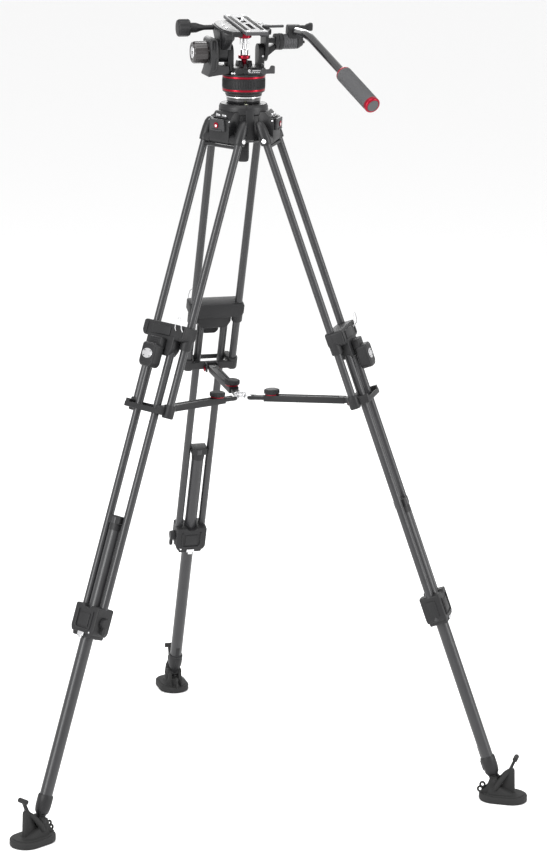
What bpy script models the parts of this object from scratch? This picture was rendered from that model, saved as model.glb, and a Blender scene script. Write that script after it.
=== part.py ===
"""Two-stage video tripod with a mid-level spreader and a half-ball fluid head.

The model stands on Z = 0 with the middle of its footprint at the origin. +Y is the lens side of the
head, which faces the front leg; the pan bar is on the +X side and points back to the operator.
"""
import math

import bmesh
import bpy
from mathutils import Matrix, Vector

for old in list(bpy.data.objects):
    bpy.data.objects.remove(old)

MM = 0.001
GAP = 0.3 * MM              # between pieces that touch
PLAY = 0.6 * MM             # between pieces that slide or turn in each other
BALL_PLAY = 0.9 * MM        # between faceted spheres

# ---- driving sizes ----------------------------------------------------------------------------
HINGE_HEIGHT = 1457 * MM    # leg hinges above the floor
HINGE_RADIUS = 63 * MM      # leg hinges from the pan axis
LEG_ANGLE = math.radians(20.1)          # a leg from the vertical
LEGS = {"front": 90, "left": 210, "right": 330}      # azimuth of each leg, in degrees

TUBE_RADIUS = 8.5 * MM      # upper and middle tubes
UPPER_SPACING = 103 * MM
MIDDLE_SPACING = 55 * MM
LOWER_RADIUS = 14 * MM
PLANE_STEP = 14.5 * MM      # middle and lower tubes lie this far outside the upper ones

UPPER_LENGTH = 611 * MM     # hinge to the closed end of the upper tubes
COLLAR_AT = 436 * MM        # hinge to the top of the middle collar
COLLAR_HEIGHT = 50 * MM
LOCK_AT = 1060 * MM         # hinge to the top of the lower lock
LOCK_HEIGHT = 70 * MM
GUIDE_AT = 838 * MM         # hinge to the top of the lower tube's guide cap
FOOT_AT = 1455 * MM         # hinge to the top of the foot clevis
SHOE_PIVOT = 52 * MM        # below the top of the clevis
SHOE_HALF_LENGTH = 54 * MM
SHOE_HALF_WIDTH = 36 * MM
SOLE_SHIFT = 20 * MM        # the sole reaches further outwards than inwards

BRACKET_HEIGHT = 28 * MM
ARM_HEIGHT = 14 * MM
ARM_WIDTH = 22 * MM
HUB_REACH = 22 * MM         # arm pivots on the hub from its middle
HUB_DROP = 10 * MM          # arm pivots on the hub below those on the brackets
KNOB_RADIUS = 16.5 * MM

BOWL_RADIUS = 37.5 * MM     # the 75 mm half ball
RIM_ABOVE_HINGE = 72.5 * MM
BALL_ABOVE_RIM = 13 * MM
DRUM_RADIUS = 46.7 * MM
TILT_AXIS = 97 * MM         # above the middle of the ball
TILT_REST = math.radians(5)             # the head is left tipped up a little
PLATE_LENGTH = 190 * MM
PLATE_WIDTH = 50 * MM
BAR_RADIUS = 9 * MM
GRIP_RADIUS = 17.5 * MM

SIDES = 20                  # facets round a large turned piece
FINE_SIDES = 12             # facets round a small one

# ---- collections, materials and frames --------------------------------------------------------
PARTS = bpy.data.collections.new("video_tripod")
CUTTERS = bpy.data.collections.new("cutters")
bpy.context.scene.collection.children.link(PARTS)
bpy.context.scene.collection.children.link(CUTTERS)

FINISHES = {                # base colour, roughness, metallic
    "carbon": ((0.035, 0.035, 0.038), 0.35, 0.0),
    "black_metal": ((0.02, 0.02, 0.022), 0.4, 0.6),
    "grey_metal": ((0.16, 0.16, 0.17), 0.45, 0.7),
    "black_plastic": ((0.03, 0.03, 0.032), 0.55, 0.0),
    "grey_plastic": ((0.22, 0.22, 0.23), 0.5, 0.0),
    "rubber": ((0.025, 0.025, 0.025), 0.8, 0.0),
    "grip_rubber": ((0.15, 0.15, 0.155), 0.8, 0.0),
    "red_anodised": ((0.45, 0.01, 0.03), 0.3, 0.8),
    "steel": ((0.7, 0.7, 0.7), 0.25, 1.0),
    "gloss_black": ((0.012, 0.012, 0.012), 0.12, 0.0),
}


def finish_for(node, finish):
    """Each node's own Principled material in one of the part's finishes."""
    colour, roughness, metallic = FINISHES[finish]
    material = bpy.data.materials.new(node + "_" + finish)
    material.use_nodes = True
    shader = material.node_tree.nodes["Principled BSDF"]
    shader.inputs["Base Color"].default_value = (*colour, 1)
    shader.inputs["Roughness"].default_value = roughness
    shader.inputs["Metallic"].default_value = metallic
    return material


def frame(name, parent, at=(0, 0, 0), turn=(0, 0, 0)):
    """An empty that carries pieces, usually on a joint's axis."""
    empty = bpy.data.objects.new(name, None)
    empty.parent = parent
    empty.location = at
    empty.rotation_euler = turn
    PARTS.objects.link(empty)
    return empty


# ---- shapes: each is a hidden helper until piece() makes it a node -----------------------------
def helper(mesh, label="shape"):
    shape = bpy.data.objects.new(label, mesh)
    shape.hide_render = True
    shape.display_type = "WIRE"
    CUTTERS.objects.link(shape)
    return shape


def from_bmesh(bm):
    mesh = bpy.data.meshes.new("shape")
    bm.to_mesh(mesh)
    bm.free()
    return helper(mesh)


def block(low, high, round_edges=0.0):
    """A box between two corners, with its edges broken by round_edges."""
    bm = bmesh.new()
    bmesh.ops.create_cube(bm, size=1)
    size = Vector(high) - Vector(low)
    middle = (Vector(high) + Vector(low)) / 2
    bmesh.ops.transform(bm, matrix=Matrix.Translation(middle) @ Matrix.Diagonal((*size, 1)), verts=bm.verts)
    if round_edges:
        bmesh.ops.bevel(bm, geom=bm.edges[:], offset=round_edges, segments=1, affect="EDGES")
    return from_bmesh(bm)


def rod(radius, start, end, radius_end=None, sides=FINE_SIDES):
    """A round bar, or a cone with radius_end, from start to end."""
    start, end = Vector(start), Vector(end)
    along = end - start
    bm = bmesh.new()
    bmesh.ops.create_cone(
        bm, cap_ends=True, segments=sides, radius1=radius,
        radius2=radius if radius_end is None else radius_end, depth=along.length)
    # Half a facet's turn keeps a flat side square to the frame.
    turn = along.to_track_quat("Z", "Y").to_matrix().to_4x4() @ Matrix.Rotation(math.pi / sides, 4, "Z")
    bmesh.ops.transform(bm, matrix=Matrix.Translation((start + end) / 2) @ turn, verts=bm.verts)
    return from_bmesh(bm)


def turned(profile, at=(0, 0, 0), turn=(0, 0, 0), sides=SIDES):
    """A closed profile of (radius, height) points, down its outer side, turned about Z."""
    mesh = bpy.data.meshes.new("profile")
    points = [(radius, 0, height) for radius, height in profile]
    edges = [(i, (i + 1) % len(points)) for i in range(len(points))]
    edges = [(a, b) for a, b in edges if profile[a][0] or profile[b][0]]      # none along the axis
    mesh.from_pydata(points, edges, [])
    shape = helper(mesh)
    shape.location = at
    shape.rotation_euler = turn
    screw = shape.modifiers.new("turn", "SCREW")
    screw.steps = sides
    screw.render_steps = sides
    screw.use_merge_vertices = True
    screw.merge_threshold = 0.00001
    return shape


def sheet(outline, thickness, at=(0, 0, 0), turn=(0, 0, 0)):
    """A flat outline in X and Y, extruded by half the thickness each way along Z, as a mesh."""
    curve = bpy.data.curves.new("outline", "CURVE")
    curve.dimensions = "2D"
    curve.fill_mode = "BOTH"
    curve.extrude = thickness / 2
    spline = curve.splines.new("POLY")
    spline.points.add(len(outline) - 1)
    for point, (x, y) in zip(spline.points, outline):
        point.co = (x, y, 0, 1)
    spline.use_cyclic_u = True
    return as_mesh(curve, at, turn)


def wall(outline, low_x, high_x):
    """An outline in Y and Z with its thickness along X."""
    middle = ((low_x + high_x) / 2, 0, 0)
    return sheet(outline, high_x - low_x, at=middle, turn=(math.pi / 2, 0, math.pi / 2))


def wire(points, radius, cyclic=False, sides=2):
    """A round bar bent through points, as a mesh."""
    curve = bpy.data.curves.new("wire", "CURVE")
    curve.dimensions = "3D"
    curve.bevel_depth = radius
    curve.bevel_resolution = sides
    curve.use_fill_caps = True
    spline = curve.splines.new("POLY")
    spline.points.add(len(points) - 1)
    for point, place in zip(spline.points, points):
        point.co = (*place, 1)
    spline.use_cyclic_u = cyclic
    return as_mesh(curve)


def as_mesh(curve, at=(0, 0, 0), turn=(0, 0, 0)):
    source = bpy.data.objects.new("curve", curve)
    CUTTERS.objects.link(source)
    source.location = at
    source.rotation_euler = turn
    bpy.context.view_layer.update()
    evaluated = source.evaluated_get(bpy.context.evaluated_depsgraph_get())
    mesh = bpy.data.meshes.new_from_object(evaluated)
    bm = bmesh.new()
    bm.from_mesh(mesh)
    bmesh.ops.remove_doubles(bm, verts=bm.verts, dist=0.00001)
    bmesh.ops.recalc_face_normals(bm, faces=bm.faces)
    bm.to_mesh(mesh)
    bm.free()
    shape = helper(mesh)
    shape.location = at
    shape.rotation_euler = turn
    bpy.data.objects.remove(source)
    return shape


def piece(node, finish, parent, base, add=(), cut=()):
    """Make base the node's solid, joined with the shapes in add and cut by those in cut."""
    base.name = node
    base.hide_render = False
    base.display_type = "TEXTURED"
    CUTTERS.objects.unlink(base)
    PARTS.objects.link(base)
    base.data.materials.append(finish_for(node, finish))
    for shape in (base, *add, *cut):
        shape.parent = parent
    for operation, shapes in (("UNION", add), ("DIFFERENCE", cut)):
        for shape in shapes:
            shape.name = node + "_" + operation.lower()
            boolean = base.modifiers.new(operation.lower(), "BOOLEAN")
            boolean.operation = operation
            boolean.solver = "EXACT"
            boolean.object = shape
    return base


def mirrored(low, high, round_edges=0.0):
    """The same block on both sides of X = 0."""
    left = (-high[0], low[1], low[2])
    right = (-low[0], high[1], high[2])
    return [block(low, high, round_edges), block(left, right, round_edges)]


def arc(radius, start, end, steps, centre=(0, 0)):
    """Points round a circle from one angle to another, in degrees."""
    angles = [math.radians(start + (end - start) * i / steps) for i in range(steps + 1)]
    return [(centre[0] + radius * math.cos(a), centre[1] + radius * math.sin(a)) for a in angles]


# ---- places that several pieces share ----------------------------------------------------------
UPPER_X = UPPER_SPACING / 2
MIDDLE_X = MIDDLE_SPACING / 2
# The middle of the footprint's box is the origin, so the pan axis stands back from it.
FOOT_REACH = (HINGE_RADIUS + (FOOT_AT + SHOE_PIVOT) * math.sin(LEG_ANGLE) + PLANE_STEP * math.cos(LEG_ANGLE)
              + SOLE_SHIFT)
SOLE_BEND = SHOE_HALF_LENGTH - SHOE_HALF_WIDTH
AXIS_Y = -(FOOT_REACH + SOLE_BEND) / 4
axis = frame("pan_axis", None, at=(0, AXIS_Y, 0))

# ---- crown -----------------------------------------------------------------------------------
CROWN_RADIUS = 53 * MM
CROWN_WALL = 6 * MM
BOWL_WALL = 5.5 * MM
RIM = RIM_ABOVE_HINGE
BALL_Z = RIM + BALL_ABOVE_RIM               # middle of the ball above the hinges
STUD_HOLE = 15 * MM
LUG_HALF = 30 * MM
HINGE_EYE = 11.8 * MM
CROWN_SKIRT = 8 * MM                        # how far the crown reaches below the hinges
crown_frame = frame("crown_frame", axis, at=(0, 0, HINGE_HEIGHT))


def sphere_z(radius, at_radius):
    """Height below the ball's middle of a sphere at some distance from the pan axis."""
    return BALL_Z - math.sqrt(radius ** 2 - at_radius ** 2)


bowl_inner = BOWL_RADIUS + BALL_PLAY
bowl_outer = bowl_inner + BOWL_WALL
rim_inner = math.sqrt(bowl_inner ** 2 - BALL_ABOVE_RIM ** 2)
under = [33 * MM, 24 * MM, STUD_HOLE]
inside = [STUD_HOLE, 23 * MM, 30 * MM, rim_inner]
crown_profile = (
    [(rim_inner + 1 * MM, RIM), (CROWN_RADIUS - 3 * MM, RIM), (CROWN_RADIUS, RIM - 6 * MM)]
    + [(CROWN_RADIUS, -CROWN_SKIRT), (CROWN_RADIUS - CROWN_WALL, -CROWN_SKIRT)]
    + [(CROWN_RADIUS - CROWN_WALL, sphere_z(bowl_outer, under[0]))]
    + [(r, sphere_z(bowl_outer, r)) for r in under]
    + [(r, sphere_z(bowl_inner, r)) for r in inside])
lugs = []
LUG_TOP = 50 * MM
for azimuth in LEGS.values():
    turn = math.radians(azimuth - 90)
    shapes = [
        block((-LUG_HALF, CROWN_RADIUS - CROWN_WALL - 4 * MM, 1 * MM), (LUG_HALF, HINGE_RADIUS + HINGE_EYE, LUG_TOP),
              2 * MM),
        rod(HINGE_EYE, (-LUG_HALF, HINGE_RADIUS, 0), (LUG_HALF, HINGE_RADIUS, 0)),
    ]
    for shape in shapes:
        shape.rotation_euler = (0, 0, turn)
    lugs += shapes
piece("crown", "black_metal", crown_frame, turned(crown_profile, sides=30), add=lugs)

LEVER_HALF = 22 * MM
LEVER_TOP = 44 * MM
LEVER_HEIGHT = 25 * MM
LEVER_DEPTH = 9 * MM
lever_face = HINGE_RADIUS + HINGE_EYE + GAP
for leg, azimuth in LEGS.items():
    side = frame(leg + "_crown_side", crown_frame, turn=(0, 0, math.radians(azimuth - 90)))
    hinge = frame(leg + "_angle_lever_axis", side, at=(0, lever_face, LEVER_TOP))
    piece("angle_lever_" + leg, "grey_plastic", hinge,
          block((-LEVER_HALF, 0, -LEVER_HEIGHT), (LEVER_HALF, LEVER_DEPTH, 0), 2 * MM))

# The cup below the bowl and the handle under it clamp the ball; both tilt with it.
STUD_RADIUS = 6 * MM
CUP_HALF = 22 * MM
CUP_WALL = 4 * MM
ball_frame = frame("ball_frame", crown_frame, at=(0, 0, BALL_Z))
cup_inner = bowl_outer + BALL_PLAY
cup_outer = cup_inner + CUP_WALL
cup_steps = [CUP_HALF, 18 * MM, 13 * MM, STUD_RADIUS + PLAY]
cup_profile = (
    [(r, -math.sqrt(cup_outer ** 2 - r ** 2)) for r in cup_steps]
    + [(r, -math.sqrt(cup_inner ** 2 - r ** 2)) for r in reversed(cup_steps)])
# The stud tips fore and aft in a slot of the cup, and sideways together with it.
cup_slot = block((-STUD_RADIUS - PLAY, -15 * MM, -60 * MM), (STUD_RADIUS + PLAY, 15 * MM, -30 * MM))
piece("clamp_cup", "black_metal", ball_frame, turned(cup_profile), cut=[cup_slot])
HANDLE_TOP = -cup_outer - GAP
HANDLE_LENGTH = 92 * MM
handle_low = HANDLE_TOP - HANDLE_LENGTH
STUD_END = HANDLE_TOP - 30 * MM
handle_profile = (
    [(STUD_RADIUS + PLAY, HANDLE_TOP), (11 * MM, HANDLE_TOP), (9 * MM, HANDLE_TOP - 22 * MM)]
    + [(12 * MM, HANDLE_TOP - 38 * MM), (13 * MM, handle_low + 6 * MM), (10 * MM, handle_low), (0, handle_low)]
    + [(0, STUD_END - 1 * MM), (STUD_RADIUS + PLAY, STUD_END - 1 * MM)])
piece("tie_down_handle", "black_plastic", ball_frame, turned(handle_profile))

# ---- legs ------------------------------------------------------------------------------------
SOCKET_RADIUS = 12.5 * MM
SOCKET_TOP = 6 * MM
SOCKET_LOW = -14 * MM
HINGE_INNER = LUG_HALF + PLAY
SLEEVE_RADIUS = 11.8 * MM
BRACKET_AT = UPPER_LENGTH - BRACKET_HEIGHT
EAR_GAP = ARM_WIDTH / 2 - 1 * MM
EAR_WALL = 3.5 * MM
PIVOT_Y = -21 * MM                          # arm pivot inside the upper tubes' plane
PIVOT_Z = -(BRACKET_AT + BRACKET_HEIGHT / 2)
PIN_RADIUS = 3 * MM
COLLAR_HALF = UPPER_X + 12 * MM
MIDDLE_OUT = MIDDLE_X + TUBE_RADIUS
GUIDE_GAP = 1 * MM
# How much further in each middle section is pushed; the three legs aren't drawn out alike.
MIDDLE_IN = {"front": 0.0, "left": 24 * MM, "right": 0.0}
LOCK_HALF = 36 * MM
LOCK_IN = -9 * MM
LOCK_OUT = 37 * MM
SHOE_THICKNESS = 16 * MM
CLEVIS_RADIUS = 17 * MM


def tube_pair(radius, x, y, top, low, sides=FINE_SIDES):
    return [rod(radius, (side * x, y, top), (side * x, y, low), sides=sides) for side in (-1, 1)]


for leg, azimuth in LEGS.items():
    # In a leg's frame Z runs up the leg from its hinge, Y points outwards and X is the hinge.
    side = frame(leg + "_side", axis, turn=(0, 0, math.radians(azimuth - 90)))
    hinge = frame(leg + "_hinge", side, at=(0, HINGE_RADIUS, HINGE_HEIGHT), turn=(LEG_ANGLE, 0, 0))

    tubes = tube_pair(TUBE_RADIUS, UPPER_X, 0, SOCKET_TOP - 4 * MM, -UPPER_LENGTH + 1 * MM)
    sockets = tube_pair(SOCKET_RADIUS, UPPER_X, 0, SOCKET_TOP, SOCKET_LOW)
    barrels = [
        rod(HINGE_EYE, (HINGE_INNER, 0, 0), (UPPER_X, 0, 0)),
        rod(HINGE_EYE, (-UPPER_X, 0, 0), (-HINGE_INNER, 0, 0))]
    bridge = block((-UPPER_X, -6 * MM, -19 * MM), (UPPER_X, 6 * MM, -12.5 * MM), 1.5 * MM)
    piece(leg + "_upper_frame", "carbon", hinge, tubes[0], add=[sockets[0], bridge, barrels[1], barrels[0]]
          + [sockets[1], tubes[1]])

    # The bracket closes the upper tubes' ends, guides the middle tubes and holds the spreader arm.
    top, low = -BRACKET_AT, -UPPER_LENGTH
    bar = block((-UPPER_X, -13 * MM, low + 2 * MM), (UPPER_X, -3 * MM, top - 3 * MM), 1 * MM)
    sleeves = tube_pair(SLEEVE_RADIUS, UPPER_X, 0, top, low)
    strap_y = PLANE_STEP + LOWER_RADIUS + 2 * MM
    strap = block((-UPPER_X - 1 * MM, strap_y, low + 4 * MM), (UPPER_X + 1 * MM, strap_y + 3 * MM, top - 4 * MM))
    cheeks = mirrored((MIDDLE_OUT + 3.5 * MM, 2 * MM, low + 5 * MM), (UPPER_X, strap_y + 2 * MM, top - 5 * MM))
    ears = mirrored((EAR_GAP + GAP, PIVOT_Y - 6 * MM, low + 5 * MM), (EAR_GAP + EAR_WALL, -10 * MM, top - 5 * MM),
                    0.8 * MM)
    pin_end = EAR_GAP + EAR_WALL - 1.1 * MM
    pin = rod(PIN_RADIUS, (-pin_end, PIVOT_Y, PIVOT_Z), (pin_end, PIVOT_Y, PIVOT_Z), sides=10)
    bores = tube_pair(TUBE_RADIUS + GAP, UPPER_X, 0, top + 5 * MM, low - 5 * MM)
    piece(leg + "_bracket", "black_plastic", hinge, bar, add=[*sleeves, strap, *cheeks, *ears, pin], cut=bores)

    # The collar slides on the upper tubes and grips the tops of the middle ones.
    middle = frame(leg + "_middle", hinge, at=(0, 0, MIDDLE_IN[leg]))
    top, low = -COLLAR_AT, -(COLLAR_AT + COLLAR_HEIGHT)
    body = block((-COLLAR_HALF, -12 * MM, low + 14 * MM), (COLLAR_HALF, 26 * MM, top), 4 * MM)
    web = block((-MIDDLE_OUT - 3 * MM, 1 * MM, low - 20 * MM), (MIDDLE_OUT + 3 * MM, 27.5 * MM, low + 20 * MM), 2 * MM)
    skirts = tube_pair(SLEEVE_RADIUS + 0.6 * MM, UPPER_X, 0, top - 4 * MM, low)
    holes = (tube_pair(TUBE_RADIUS + PLAY, UPPER_X, 0, top + 5 * MM, low - 5 * MM)
             + tube_pair(TUBE_RADIUS + GAP, MIDDLE_X, PLANE_STEP, top - 8 * MM, low - 30 * MM))
    piece(leg + "_collar", "black_plastic", middle, body, add=[web, *skirts], cut=holes)
    collar_lever = frame(leg + "_collar_lever_axis", middle, at=(0, 27.5 * MM + GAP, -(COLLAR_AT + 34 * MM)))
    piece(leg + "_collar_lever", "black_plastic", collar_lever,
          block((-20 * MM, 0, -20 * MM), (20 * MM, 16 * MM, 0), 3 * MM),
          add=[block((-21 * MM, 2 * MM, -68 * MM), (21 * MM, 29 * MM, -16 * MM), 3 * MM)])

    # Middle tubes and the lower lock that is bonded to their ends.
    top, low = -LOCK_AT, -(LOCK_AT + LOCK_HEIGHT)
    tubes = tube_pair(TUBE_RADIUS, MIDDLE_X, PLANE_STEP, -(COLLAR_AT + 10 * MM), low + 12 * MM)
    body = block((-LOCK_HALF, LOCK_IN, low + 8 * MM), (LOCK_HALF, LOCK_OUT, top), 6 * MM)
    flange = block((-LOCK_HALF + 5 * MM, LOCK_IN + 3 * MM, low), (LOCK_HALF - 5 * MM, LOCK_OUT - 3 * MM, low + 12 * MM),
                   2 * MM)
    bore = rod(LOWER_RADIUS + PLAY, (0, PLANE_STEP, top + 5 * MM), (0, PLANE_STEP, low - 5 * MM), sides=SIDES)
    piece(leg + "_middle_frame", "carbon", middle, body, add=[flange, *tubes], cut=[bore])
    lock_knob = frame(leg + "_lock_lever_axis", middle, at=(-LOCK_HALF - GAP, PLANE_STEP, (top + low) / 2 + 4 * MM))
    piece(leg + "_lock_lever", "black_plastic", lock_knob,
          rod(12 * MM, (0, 0, 0), (-11 * MM, 0, 0), radius_end=10.5 * MM),
          add=[block((-11 * MM, -4 * MM, -27 * MM), (-3 * MM, 4 * MM, 0), 2 * MM)])

    # The lower tube with its guide cap above and the clevis of the foot below.
    guide = block((-MIDDLE_OUT, PLANE_STEP - 13 * MM, -GUIDE_AT - 18 * MM), (MIDDLE_OUT, PLANE_STEP + 13 * MM, -GUIDE_AT),
                  2 * MM)
    tube = rod(LOWER_RADIUS, (0, PLANE_STEP, -GUIDE_AT - 2 * MM), (0, PLANE_STEP, -FOOT_AT - 30 * MM), sides=SIDES)
    clevis = rod(CLEVIS_RADIUS, (0, PLANE_STEP, -FOOT_AT), (0, PLANE_STEP, -FOOT_AT - 38 * MM), sides=SIDES)
    tongue = rod(10 * MM, (-8 * MM, PLANE_STEP, -FOOT_AT - SHOE_PIVOT), (8 * MM, PLANE_STEP, -FOOT_AT - SHOE_PIVOT))
    neck = block((-8 * MM, PLANE_STEP - 9 * MM, -FOOT_AT - SHOE_PIVOT), (8 * MM, PLANE_STEP + 9 * MM, -FOOT_AT - 30 * MM))
    runs = tube_pair(TUBE_RADIUS + GUIDE_GAP, MIDDLE_X, PLANE_STEP, -GUIDE_AT + 5 * MM, -GUIDE_AT - 25 * MM)
    eye = rod(4 * MM + PLAY, (-20 * MM, PLANE_STEP, -FOOT_AT - SHOE_PIVOT), (20 * MM, PLANE_STEP, -FOOT_AT - SHOE_PIVOT))
    piece(leg + "_lower_tube", "carbon", hinge, tube, add=[guide, clevis, neck, tongue], cut=[*runs, eye])

    # The shoe turns on the clevis and lies flat on the floor, so its frame is level again.
    shoe_axis = frame(leg + "_shoe_axis", hinge, at=(0, PLANE_STEP, -FOOT_AT - SHOE_PIVOT), turn=(-LEG_ANGLE, 0, 0))
    bpy.context.view_layer.update()
    floor = -shoe_axis.matrix_world.translation.z
    sole_line = (arc(SHOE_HALF_WIDTH, 0, 180, 10, (0, SOLE_BEND)) + arc(SHOE_HALF_WIDTH, 180, 360, 10, (0, -SOLE_BEND)))
    sole = sheet(sole_line, SHOE_THICKNESS, at=(0, SOLE_SHIFT, floor + SHOE_THICKNESS / 2))
    top_line = [(0.62 * x, 0.62 * y) for x, y in sole_line]
    dome = sheet(top_line, 8 * MM, at=(0, SOLE_SHIFT / 2, floor + SHOE_THICKNESS + 2 * MM))
    uprights = mirrored((8 * MM + PLAY, -9 * MM, floor + 6 * MM), (16 * MM, 9 * MM, 8 * MM), 1.5 * MM)
    pivot = rod(4 * MM, (-12 * MM, 0, 0), (12 * MM, 0, 0), sides=12)
    strap = rod(4.5 * MM, (0, 32 * MM, floor + 12 * MM), (0, 46 * MM, floor + 98 * MM), sides=8)
    tip = block((-12 * MM, 41 * MM, floor + 95 * MM), (12 * MM, 51 * MM, floor + 105 * MM), 2 * MM)
    piece(leg + "_shoe", "rubber", shoe_axis, sole, add=[dome, *uprights, pivot, strap, tip])

# ---- spreader --------------------------------------------------------------------------------
bracket_radius = HINGE_RADIUS - PIVOT_Z * math.sin(LEG_ANGLE) + PIVOT_Y * math.cos(LEG_ANGLE)
bracket_height = HINGE_HEIGHT + PIVOT_Z * math.cos(LEG_ANGLE) + PIVOT_Y * math.sin(LEG_ANGLE)
arm_run = bracket_radius - HUB_REACH
arm_length = math.hypot(arm_run, HUB_DROP)
arm_slope = math.atan2(HUB_DROP, arm_run)
WALL = 2.2 * MM
CHANNEL_END = arm_length - 33 * MM          # the channel stops short of the hub
BLADE_HALF = ARM_WIDTH / 2 - WALL - GAP
BLADE_LOW = -ARM_HEIGHT / 2 + WALL + GAP
BLADE_TOP = ARM_HEIGHT / 2 - WALL - GAP
ARM_TRAVEL = 38 * MM         # until the channels meet round the hub
BLADE_START = 92 * MM
HUB_PIN = 1.6 * MM
EYE_HALF = 2.7 * MM
HUB_PLAY = 1.5 * MM          # loose pivots let the three arms move together
KNOB_AT = CHANNEL_END - 17 * MM
for leg, azimuth in LEGS.items():
    side = frame(leg + "_arm_side", axis, turn=(0, 0, math.radians(azimuth - 90)))
    # In an arm's frame -Y runs from the bracket's pin to the hub.
    arm = frame(leg + "_arm_axis", side, at=(0, bracket_radius, bracket_height), turn=(arm_slope, 0, 0))
    half, high = ARM_WIDTH / 2, ARM_HEIGHT / 2
    channel = block((-half, -CHANNEL_END, -high), (half, -11 * MM, high), 1 * MM)
    tongue = block((-EAR_GAP, -14 * MM, -high + 1 * MM), (EAR_GAP, 3 * MM, high - 1 * MM), 1.5 * MM)
    inside_cut = block((-half + WALL, -CHANNEL_END - 5 * MM, -high + WALL), (half - WALL, -20 * MM, high - WALL))
    under_slot = block((-EYE_HALF - 3 * MM, -CHANNEL_END - 5 * MM, -high - 5 * MM),
                       (EYE_HALF + 3 * MM, -CHANNEL_END + 55 * MM, 0))
    groove = block((-4.5 * MM, -CHANNEL_END + 38 * MM, high - 1.2 * MM), (4.5 * MM, -22 * MM, high + 5 * MM))
    pin_hole = rod(PIN_RADIUS + PLAY, (-20 * MM, 0, 0), (20 * MM, 0, 0), sides=12)
    piece(leg + "_arm_channel", "black_plastic", arm, channel, add=[tongue],
          cut=[inside_cut, under_slot, groove, pin_hole])
    blade = block((-BLADE_HALF, -arm_length + 9 * MM, BLADE_LOW), (BLADE_HALF, -BLADE_START, BLADE_TOP), 0.8 * MM)
    forks = [rod(BLADE_TOP, (s * (EYE_HALF + HUB_PLAY), -arm_length, 0), (s * BLADE_HALF, -arm_length, 0), sides=12)
             for s in (-1, 1)]
    fork_arms = mirrored((EYE_HALF + HUB_PLAY, -arm_length, BLADE_LOW), (BLADE_HALF, -arm_length + 12 * MM, BLADE_TOP))
    pivot_hole = rod(HUB_PIN + HUB_PLAY, (-20 * MM, -arm_length, 0), (20 * MM, -arm_length, 0), sides=12)
    piece(leg + "_arm_blade", "black_metal", arm, blade, add=[*fork_arms, *forks], cut=[pivot_hole])
    knob_axis = frame(leg + "_arm_knob_axis", arm, at=(0, -KNOB_AT, high + GAP))
    knob_profile = [(0, 15 * MM), (KNOB_RADIUS - 4 * MM, 15 * MM), (KNOB_RADIUS, 12 * MM), (KNOB_RADIUS, 3 * MM)]
    knob_profile += [(KNOB_RADIUS - 3 * MM, 0), (0, 0)]
    piece(leg + "_arm_knob", "black_plastic", knob_axis, turned(knob_profile))

hub_axis = frame("hub_axis", axis, at=(0, 0, bracket_height - HUB_DROP))
HUB_RADIUS = 12 * MM
hub_shapes = []
for azimuth in LEGS.values():
    ear = block((-EYE_HALF, 6 * MM, -4 * MM), (EYE_HALF, HUB_REACH + 3 * MM, 4 * MM), 1 * MM)
    pin = rod(HUB_PIN, (-BLADE_HALF, HUB_REACH, 0), (BLADE_HALF, HUB_REACH, 0), sides=12)
    for shape in (ear, pin):
        shape.rotation_euler = (0, 0, math.radians(azimuth - 90))
    hub_shapes += [ear, pin]
hub_profile = [(7 * MM, 5 * MM), (HUB_RADIUS, 5 * MM), (HUB_RADIUS, -5 * MM), (7 * MM, -5 * MM)]
piece("spreader_hub", "steel", hub_axis, turned(hub_profile), add=hub_shapes)

# ---- head: the ball, the pan base and what turns on it -----------------------------------------
head = frame("head_frame", ball_frame)
FLANGE = 3.5 * MM
FLANGE_RADIUS = 39.8 * MM
ball_line = arc(BOWL_RADIUS, 0, -80, 6)
ball_profile = (
    [(0, FLANGE), (FLANGE_RADIUS, FLANGE), (FLANGE_RADIUS, GAP), (BOWL_RADIUS - GAP, GAP)]
    + ball_line[:-1] + [(STUD_RADIUS, -math.sqrt(BOWL_RADIUS ** 2 - STUD_RADIUS ** 2))]
    + [(STUD_RADIUS, STUD_END), (0, STUD_END)])
piece("half_ball", "gloss_black", head, turned(ball_profile, sides=28))

BASE_TOP = 19 * MM
RING_TOP = 42 * MM
CORE_RADIUS = 30 * MM
PAN_FLOOR = 42.5 * MM
base_profile = (
    [(0, RING_TOP), (CORE_RADIUS, RING_TOP), (CORE_RADIUS, BASE_TOP), (DRUM_RADIUS - 0.5 * MM, BASE_TOP)]
    + [(DRUM_RADIUS - 1.2 * MM, 12 * MM), (39.5 * MM, 9 * MM), (39.5 * MM, FLANGE + GAP), (0, FLANGE + GAP)])
piece("pan_base", "red_anodised", head, turned(base_profile, sides=28))
drag_profile = [(CORE_RADIUS + PLAY, RING_TOP - GAP), (DRUM_RADIUS, RING_TOP - GAP), (DRUM_RADIUS, BASE_TOP + GAP)]
drag_profile += [(CORE_RADIUS + PLAY, BASE_TOP + GAP)]
piece("pan_drag_ring", "black_plastic", head, turned(drag_profile, sides=28))

# The pan body: a red-edged disc, the panel block, the spring's foot and two uprights.
ARM_INNER = 41.5 * MM                       # inner face of the tilting arms
UPRIGHT_HALF = 17 * MM
SHAFT_RADIUS = 7 * MM
SPRING_FOOT = 54 * MM
disc_profile = [(0, 52 * MM), (DRUM_RADIUS - 4 * MM, 52 * MM), (DRUM_RADIUS - 0.5 * MM, 49 * MM)]
disc_profile += [(DRUM_RADIUS - 0.5 * MM, PAN_FLOOR), (0, PAN_FLOOR)]
panel = block((-32 * MM, -36 * MM, 50 * MM), (40 * MM, 36 * MM, 66 * MM), 5 * MM)
cone = rod(20 * MM, (0, 0, 64 * MM), (0, 0, 78 * MM), radius_end=12.5 * MM)
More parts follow.
